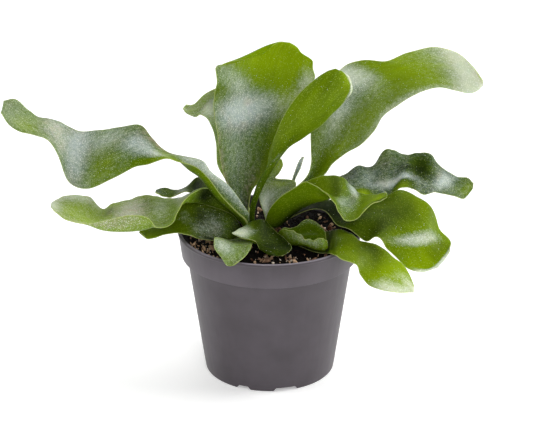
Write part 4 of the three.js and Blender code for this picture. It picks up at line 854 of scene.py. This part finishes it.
def footNotch(middle, width):  # a wedge across the foot ring, wider towards the ground
    margin = 4.0
    top = pot["bodyFootRadius"] * math.tan(math.radians(width / 2))
    foot = top + (pot["footHeight"] + margin) * pot["notchSlope"]
    near = pot["bodyFootRadius"] - pot["footWidth"] - margin
    turn = math.radians(middle - 90)
    outward, side = Vector((math.cos(turn), math.sin(turn), 0)), Vector((-math.sin(turn), math.cos(turn), 0))
    corners = [(-top, pot["footHeight"]), (-foot, -margin), (foot, -margin), (top, pot["footHeight"])]
    vertices = [tuple(axisFoot + (outward * reach + side * across + Vector((0, 0, height))) * mm)
                for reach in (near, near + pot["footWidth"] + 2 * margin) for across, height in corners]
    return vertices, [(3, 2, 1, 0), (4, 5, 6, 7), (0, 1, 5, 4), (1, 2, 6, 5), (2, 3, 7, 6), (3, 0, 4, 7)]


def drainHole(middle):  # a short upright cylinder through the base
    turn, sides = math.radians(middle - 90), pot["drainSides"]
    centre = Vector((math.cos(turn), math.sin(turn), 0)) * pot["drainCircle"]
    vertices = []
    for height in (pot["footHeight"] - pot["wall"], pot["footHeight"] + 2 * pot["wall"]):
        for angle in fullTurn(sides):
            place = centre + Vector((math.cos(angle), math.sin(angle), 0)) * pot["drainRadius"]
            vertices.append(tuple(axisFoot + Vector((place.x, place.y, height)) * mm))
    lids = [tuple(reversed(range(sides))), tuple(range(sides, 2 * sides))]
    return vertices, lids + ringFaces((0, 1), sides)


def makePlasticMaterial():  # satin, with a fine moulded grain, pale where the nick is worn, paler along the collar's foot, and with a painted highlight along the lip
    material, add = newMaterial("mouldedPolypropylene")
    spot = add("TexCoord").outputs["Object"]
    wearAndHighlight = add("Attribute", attribute_name="wearAndHighlight").outputs["Fac"]
    cloudy = add("TexNoise", {"Vector": spot, "Scale": 1 / (pot["cloud"] * mm), "Detail": 4.0})
    grain = add("TexNoise", {"Vector": spot, "Scale": 1 / (pot["grain"] * mm), "Detail": 2.0})
    longSpot = add("VectorMath", {0: spot, 1: (1.0, 1.0, pot["streakFlat"])}, operation="MULTIPLY")
    streaks = add("TexNoise", {"Vector": longSpot, "Scale": 1 / (pot["streak"] * mm), "Detail": 2.0})
    uneven = add("MapRange", {"Value": cloudy, "From Min": 0.3, "From Max": 0.7, "To Max": 0.13})
    paleByWearAndHighlight = add("Math", {0: uneven, 1: wearAndHighlight}, operation="ADD", use_clamp=True)
    base = add("Mix", {0: paleByWearAndHighlight, 6: colour(pot["skin"]), 7: colour(pot["pale"])}, data_type="RGBA")
    rough = add("MapRange", {"Value": streaks, "To Min": 0.42, "To Max": 0.56})
    relief = add("Bump", {"Height": grain, "Strength": 0.25, "Distance": 0.05 * mm})
    plastic = add("BsdfPrincipled", {"Base Color": base, "Roughness": rough, "Normal": relief, "IOR": 1.49})
    add("OutputMaterial", {"Surface": plastic})
    return material


potPiece = closedPiece("nursery_pot", makePot(), "wearAndHighlight", makePlasticMaterial())
for pair in range(pot["footPairs"]):
    pairTurn = pair * 360 / pot["footPairs"]
    for middle, width in pot["notches"]:
        cutAway(potPiece, *footNotch(pairTurn + middle, width))
    for extra in (0, 180 / pot["footPairs"]):
        cutAway(potPiece, *drainHole(pairTurn + pot["notches"][0][0] + extra))
for polygon in potPiece.data.polygons:  # cut faces stay flat, so that no shade spreads from them
    polygon.use_smooth = len(polygon.vertices) <= 4
handOver(potPiece, "pot_plastic", "pot")
print("pot ready")

# Scatter: small shapes on a surface, by Geometry Nodes. Each surface has a "cover" value from 0 to 1.
# Its amounts are in this order: pieces per square metre, smallest, largest and lift in mm, tilt, seed.
amounts = {"Density": 1, "Smallest": mm, "Largest": mm, "Lift": mm, "Tilt": 1, "Seed": 1}


def scatterTree():
    tree = bpy.data.node_groups.new("scatter", "GeometryNodeTree")
    add = partial(addNode, tree)
    kinds = {"Surface": "Geometry", "Shapes": "Collection", "Material": "Material", "Seed": "Int"}
    for name in ("Surface", "Shapes", "Material", *amounts):
        tree.interface.new_socket(name, in_out="INPUT", socket_type="NodeSocket" + kinds.get(name, "Float"))
    tree.interface.new_socket("Scattered", in_out="OUTPUT", socket_type="NodeSocketGeometry")
    given = add("NodeGroupInput").outputs
    cover = add("GeometryNodeInputNamedAttribute", {"Name": "cover"})
    amount = add("ShaderNodeMath", {0: cover, 1: given["Density"]}, operation="MULTIPLY")
    points = add("GeometryNodeDistributePointsOnFaces",
                 {"Mesh": given["Surface"], "Density": amount, "Seed": given["Seed"]})
    leanSeed, sizeSeed, toneSeed = (
        add("ShaderNodeMath", {0: given["Seed"], 1: step}) for step in (7.0, 19.0, 31.0))
    least = add("ShaderNodeCombineXYZ", {2: -math.pi})
    most = add("ShaderNodeCombineXYZ", {0: given["Tilt"], 1: given["Tilt"], 2: math.pi})
    lean = add("FunctionNodeRandomValue", {"Min": least, "Max": most, "Seed": leanSeed},
               data_type="FLOAT_VECTOR")
    turned = add("FunctionNodeRotateRotation", {"Rotation": points.outputs["Rotation"], "Rotate By": lean},
                 rotation_space="LOCAL")
    size = add("FunctionNodeRandomValue", {2: given["Smallest"], 3: given["Largest"], "Seed": sizeSeed})
    lift = add("ShaderNodeVectorMath", {0: points.outputs["Normal"], "Scale": given["Lift"]},
               operation="SCALE")
    raised = add("GeometryNodeSetPosition", {"Geometry": points, "Offset": lift})
    shapes = add("GeometryNodeCollectionInfo",
                 {"Collection": given["Shapes"], "Separate Children": True, "Reset Children": True})
    placed = add("GeometryNodeInstanceOnPoints", {
        "Points": raised, "Instance": shapes, "Pick Instance": True, "Rotation": turned, "Scale": size})
    tone = add("FunctionNodeRandomValue", {"Seed": toneSeed})
    toned = add("GeometryNodeStoreNamedAttribute", {"Geometry": placed, "Name": "tone", "Value": tone},
                domain="INSTANCE")
    solid = add("GeometryNodeRealizeInstances", {"Geometry": toned})
    dressed = add("GeometryNodeSetMaterial", {"Geometry": solid, "Material": given["Material"]})
    add("NodeGroupOutput", {"Scattered": dressed})
    return tree


scatter = scatterTree()


def scatterOn(surface, name, slot, shapes, material, sizes):  # the scattered shapes as one plain mesh
    holder = bpy.data.collections.new(name + "Shapes")
    for k, (vertices, faces) in enumerate(shapes):
        shape = newPiece(f"{name}Shape{k}", vertices, faces, material)
        bpy.context.scene.collection.objects.unlink(shape)
        holder.objects.link(shape)
    piece = newObject(name, surface.copy())
    modifier = piece.modifiers.new("scatter", "NODES")
    modifier.node_group = scatter
    given = {key: size * unit for (key, unit), size in zip(amounts.items(), sizes)}
    given.update(Shapes=holder, Material=material)
    for item in scatter.interface.items_tree:
        if item.in_out == "INPUT" and item.name in given:
            modifier[item.identifier] = given[item.name]
    settle(piece)
    for shape in list(holder.objects):
        bpy.data.objects.remove(shape)
    bpy.data.collections.remove(holder)
    handOver(piece, slot)
    print(name, len(piece.data.polygons), "faces")


# Hairs: grown stars of stiff white arms, scattered over the fronds, closest where these are silver, so that
# they also gather under the painted highlights.
# Real ones are 0.3 to 0.6 mm wide and far more; these are drawn coarser so that they show.
hairs = {
    "arms": 5, "waist": 0.16, "peak": 0.14, "bareCover": 0.06, "underCover": 0.2, "fleck": 0.3,
    "scatter": (3.6e5, 0.3, 0.7, 0.03, 0.25, 21), "tone": "#c3cfae", "tonePale": "#e8ebdc",
}


def starHair():  # a low star of unit size, two faces to an arm
    vertices = [(0.0, 0.0, hairs["peak"])]
    for k in range(2 * hairs["arms"]):
        turn, reach = math.pi * k / hairs["arms"], 0.5 if k % 2 == 0 else hairs["waist"]
        vertices.append((reach * math.cos(turn), reach * math.sin(turn), 0.0))
    count = len(vertices) - 1
    return vertices, [(0, 1 + k, 1 + (k + 1) % count) for k in range(count)]


def makeHairMaterial():  # dry pale hairs that catch the light
    material, add = newMaterial("starHair")
    spot = add("TexCoord").outputs["Object"]
    tone = add("Attribute", attribute_name="tone").outputs["Fac"]
    fleck = add("TexNoise", {"Vector": spot, "Scale": 1 / (hairs["fleck"] * mm)})
    amount = add("Math", {0: tone, 1: fleck}, operation="MULTIPLY")
    base = add("Mix", {0: amount, 6: colour(hairs["tone"]), 7: colour(hairs["tonePale"])}, data_type="RGBA")
    hair = add("BsdfPrincipled", {"Base Color": base, "Roughness": 0.6})
    add("OutputMaterial", {"Surface": hair})
    return material


def coverOfFronds():  # one mesh of all blades, with the amount of hair on each point
    vertices, faces, cover = [], [], []
    bare, under = hairs["bareCover"], hairs["underCover"]
    for mesh in (piece.data for piece in frondPieces):
        start = len(vertices)
        vertices += [tuple(vertex.co) for vertex in mesh.vertices]
        faces += [tuple(start + k for k in polygon.vertices) for polygon in mesh.polygons]
        cover += [(bare + tintAndLight.vector[0]) * (under + (1 - under) * face.value) for tintAndLight, face in
                  zip(mesh.attributes["leafTintAndLight"].data, mesh.attributes["leafFace"].data)]
    mesh = bpy.data.meshes.new("allBlades")
    mesh.from_pydata(vertices, [], faces)
    mark(mesh, "cover", cover)
    return mesh


scatterOn(coverOfFronds(), "stellate_hairs", "frond_silvery", [starHair()], makeHairMaterial(),
          hairs["scatter"])

# Potting mix: milled peat with composted bark, damp and dark, with dry tan chips on top.
mix = {
    "edge": 91.0, "floor": 4.3, "ledge": 82.9, "ledgeDrop": 0.2,  # mm up from the ground, and down
    "gap": 0.3,  # mm from the wall
    "rings": 64, "sides": 176, "bareRings": 3,
    "mound": 1.5, "moundRadius": 57, "crumb": 0.7, "fade": 8,  # mm of relief, which fades by the wall
    "coarse": (0.71, 1.3, 0.63, -0.4), "fine": (1.57, 1.13, 1.91, 0.37),  # radians for each mm, and lags
    "coarsePart": 0.6, "finePart": 0.4,
    "lumps": (1.1, 4.5, 3.0), "grit": (0.35, 1.1, 9.0),  # mm high and wide, and a slice of the noise
    "patch": 1.6,  # mm, of one tone
    "peat": "#080504", "peatPale": "#1a110b",
    "drifts": [  # of dry bark and grains: mm from the pot's axis, and how wide
        (-42.0, -18.0, 11.0), (14.0, -37.0, 6.0), (-5.0, -37.0, 6.0), (37.0, 10.0, 7.0),
        (-15.0, 44.0, 9.0), (40.0, -22.0, 8.0), (-34.0, 30.0, 9.0)],
    "strayCover": 0.05,  # between the drifts
    "crumbs": (2.2e5, 0.6, 2.2, 0.3, 2.0, 3), "chips": (9.0e4, 1.2, 4.8, 0.9, 1.4, 5),
    "grains": (7.0e4, 0.6, 2.4, 1.1, 2.0, 6), "fibres": (1.2e4, 1.5, 4.0, 0.7, 0.4, 8),
    "chipDark": "#4a2013", "chipTan": "#d8b592", "fibreTone": "#6b4a2c",
    "grainDark": "#8f6547", "grainPale": "#efe0cc",
}


def collarInner(height):  # radius inside the collar's wall
    low, high = pot["collarFoot"] + pot["wall"], pot["rimHeight"]
    inner, outer = pot["collarFootRadius"] - pot["wall"], pot["rimRadius"] - pot["lipWidth"]
    return inner + (outer - inner) * (height - low) / (high - low)


def soilHeight(x, y):  # relief of the mix's top, in mm
    radius = math.hypot(x, y)
    fade = min(max((pot["bodyTopRadius"] - radius) / mix["fade"], 0.0), 1.0)
    a, b, c, d = mix["coarse"]
    coarse = math.sin(x * a + b) * math.cos(y * c + d)
    a, b, c, d = mix["fine"]
    fine = math.sin(x * a - y * b) * math.cos(y * c + x * d)
    height = mix["mound"] * (1 - (radius / mix["moundRadius"]) ** 2)
    height = height + fade * mix["crumb"] * (coarse * mix["coarsePart"] + fine * mix["finePart"])
    height = mix["edge"] + height
    for high, wide, level in (mix["lumps"], mix["grit"]):
        height += noise.noise(Vector((x, y, level)) / wide) * high
    return height


def makeMix():
    count, gap = mix["rings"], mix["gap"]
    rim = collarInner(mix["edge"]) - gap
    top = [(rim * (1 - ring / count), None) for ring in range(count + 1)]
    below = [(collarInner(mix["ledge"]) - gap, mix["ledge"]),
             (innerRadius(pot["collarFoot"]) - gap, mix["ledge"] - mix["ledgeDrop"]),
             (innerRadius(mix["floor"]) - gap, mix["floor"]), (0.0, mix["floor"])]
    vertices, cover = [], []
    for ring, (radius, height) in enumerate(top + below):
        for turn in fullTurn(mix["sides"]):
            x, y = radius * math.cos(turn), radius * math.sin(turn)
            vertices.append(atAxis(x, y, soilHeight(x, y) if height is None else height))
            cover.append(float(mix["bareRings"] <= ring <= count))
    order = [*range(count + len(below), count, -1), *range(count + 1)]
    return vertices, ringFaces(order, mix["sides"]), cover


def makeEarthMaterial(name, darkTone, paleTone, spread=0.5, toned=True):
    # crumbly organic matter: dull, broken up at a millimetre's scale, each scattered piece with its tone
    material, add = newMaterial(name)
    spot = add("TexCoord").outputs["Object"]
    patchy = add("TexNoise", {"Vector": spot, "Scale": 1 / (mix["patch"] * mm), "Detail": 5.0})
    amount = add("MapRange", {"Value": patchy, "From Min": 0.42, "From Max": 0.72, "To Max": spread})
    if toned:
        tone = add("Attribute", attribute_name="tone").outputs["Fac"]
        amount = add("Math", {0: amount, 1: tone}, operation="ADD", use_clamp=True)
    base = add("Mix", {0: amount, 6: colour(darkTone), 7: colour(paleTone)}, data_type="RGBA")
    relief = add("Bump", {"Height": patchy, "Strength": 0.8, "Distance": 0.3 * mm})
    earth = add("BsdfPrincipled", {
        "Base Color": base, "Roughness": 0.85, "Specular IOR Level": 0.2, "Normal": relief})
    add("OutputMaterial", {"Surface": earth})
    return material


def lump(seed, stretch, rough):  # a small irregular lump of twenty faces, of unit size
    chance = random.Random(seed)
    shape = bmesh.new()
    bmesh.ops.create_icosphere(shape, subdivisions=1, radius=0.5)
    for vertex in shape.verts:
        vertex.co *= 1 + rough * (chance.random() - 0.5)
        vertex.co = Vector(c * s for c, s in zip(vertex.co, stretch))
    vertices = [tuple(vertex.co) for vertex in shape.verts]
    faces = [tuple(vertex.index for vertex in face.verts) for face in shape.faces]
    shape.free()
    return vertices, faces


strands = {
    "wobble": (0.7, 1.3), "climb": 0.3,  # parts of the bend
    "taper": 0.8, "taperRise": 3,  # part of the thickness, and its power towards the ends
    "corners": (0.3, 2.4, 4.5),  # radians round the strand
}


def strand(seed, bend, thick, steps=6):  # a thin bent three-sided strand of unit length
    chance = random.Random(seed)
    vertices = []
    for t in (step / steps for step in range(steps + 1)):
        bow = bend * math.sin(math.pi * t) * chance.uniform(*strands["wobble"])
        middle = Vector((t - 0.5, bow, strands["climb"] * bend * t))
        width = thick * (1 - strands["taper"] * abs(2 * t - 1) ** strands["taperRise"])
        vertices += [tuple(middle + Vector((0, math.cos(a), math.sin(a))) * width)
                     for a in strands["corners"]]
    return vertices, [(2, 1, 0), tuple(3 * steps + k for k in range(3)), *ringFaces(range(steps + 1), 3)]


peatMaterial = makeEarthMaterial("milledPeat", mix["peat"], mix["peatPale"], toned=False)
mixPiece = closedPiece("peat_mix", makeMix(), "cover", peatMaterial)
handOver(mixPiece, "potting_mix", "potting_mix")
crumbShapes = [lump(seed, (1.0, 0.8, 0.7), 0.8) for seed in range(5)]
chipShapes = [lump(20 + seed, (1.5, 0.75, 0.3), 0.7) for seed in range(5)]
fibreShapes = [strand(40 + seed, 0.25 - 0.1 * seed, 0.03) for seed in range(4)]
scatterOn(mixPiece.data, "peat_crumbs", "potting_mix", crumbShapes,
          makeEarthMaterial("peatCrumbs", mix["peat"], mix["peatPale"], 0.3), mix["crumbs"])
driftCover = []
for vertex, cover in zip(mixPiece.data.vertices, mixPiece.data.attributes["cover"].data):
    x, y = (vertex.co.x - axisFoot.x) / mm, (vertex.co.y - axisFoot.y) / mm
    heaped = sum(math.exp(-((x - across) ** 2 + (y - deep) ** 2) / size ** 2)
                 for across, deep, size in mix["drifts"])
    driftCover.append(cover.value * min(mix["strayCover"] + heaped, 1.0))
mixPiece.data.attributes["cover"].data.foreach_set("value", driftCover)
scatterOn(mixPiece.data, "bark_chips", "potting_mix", chipShapes,
          makeEarthMaterial("compostedBark", mix["chipDark"], mix["chipTan"], 0.3), mix["chips"])
scatterOn(mixPiece.data, "dry_grains", "potting_mix", crumbShapes,
          makeEarthMaterial("dryGrains", mix["grainDark"], mix["grainPale"], 0.3), mix["grains"])
scatterOn(mixPiece.data, "root_fibres", "potting_mix", fibreShapes,
          makeEarthMaterial("rootFibres", mix["chipDark"], mix["fibreTone"]), mix["fibres"])

# Rhizome: a short woody stem under brown papery scales.
rhizome = {
    "middle": (-6.0, 5.0, 89.5), "half": (16.0, 18.0, 7.5), "sides": 72, "rings": 36,
    "knob": 0.05, "knobsRound": 7, "knobsUp": 6, "knobsLag": 1,
    "rough": 0.05, "roughTimes": 5, "bareBelow": 0.1,
    "bark": "#2a1b10", "barkPale": "#5d4428", "scaleDark": "#4a2e17", "scalePale": "#8f6a3e",
    "scales": (1.6e5, 1.6, 3.2, 0.2, 0.5, 11), "hairs": (2.0e5, 1.2, 2.6, 0.4, 1.0, 12),
}


def makeRhizome():
    rings, sides = rhizome["rings"], rhizome["sides"]
    vertices, cover = [], []
    for down in (math.pi * ring / rings for ring in range(rings + 1)):
        for turn in fullTurn(sides):
            point = Vector((math.sin(down) * math.cos(turn), math.sin(down) * math.sin(turn), math.cos(down)))
            upward = math.sin(point.z * rhizome["knobsUp"] + rhizome["knobsLag"])
            knob = math.sin(turn * rhizome["knobsRound"]) * upward
            roughness = rhizome["rough"] * noise.noise(point * rhizome["roughTimes"])
            point *= 1 + rhizome["knob"] * (knob * math.sin(down)) + roughness
            place = (m + p * h for m, p, h in zip(rhizome["middle"], point, rhizome["half"]))
            vertices.append(atAxis(*place))
            cover.append(float(point.z > rhizome["bareBelow"]))
    return vertices, [(a, d, c, b) for a, b, c, d in ringFaces(range(rings + 1), sides)], cover


barkMaterial = makeEarthMaterial("rhizomeBark", rhizome["bark"], rhizome["barkPale"], toned=False)
rhizomePiece = closedPiece("woody_rhizome", makeRhizome(), "cover", barkMaterial)
handOver(rhizomePiece, "rhizome", "rhizome")
scaleMaterial = makeEarthMaterial("paperyScales", rhizome["scaleDark"], rhizome["scalePale"])
scaleShapes = [lump(60 + seed, (1.3, 0.6, 0.12), 0.4) for seed in range(3)]
scatterOn(rhizomePiece.data, "papery_scales", "rhizome", scaleShapes, scaleMaterial, rhizome["scales"])
scatterOn(rhizomePiece.data, "rhizome_felt", "rhizome", fibreShapes, scaleMaterial, rhizome["hairs"])
print("potting mix and rhizome ready")

# Floor: a plain pale sheet of matt studio paper under the feet.
floorMaterial, add = newMaterial("paperSweep")
paperGrain = add("TexNoise", {"Scale": 400.0, "Detail": 2.0})
paperRelief = add("Bump", {"Height": paperGrain, "Strength": 0.05, "Distance": 0.1 * mm})
paper = add("BsdfPrincipled", {
    "Base Color": colour(studio["floor"]), "Roughness": 0.9, "Normal": paperRelief,
    "Emission Color": (1.0, 1.0, 1.0, 1.0), "Emission Strength": studio["floorGlow"]})
add("OutputMaterial", {"Surface": paper})
reach = studio["floorReach"]
corners = [(-reach, -reach, 0), (reach, -reach, 0), (reach, reach, 0), (-reach, reach, 0)]
floor = newPiece("floor", corners, [(0, 1, 2, 3)], floorMaterial)
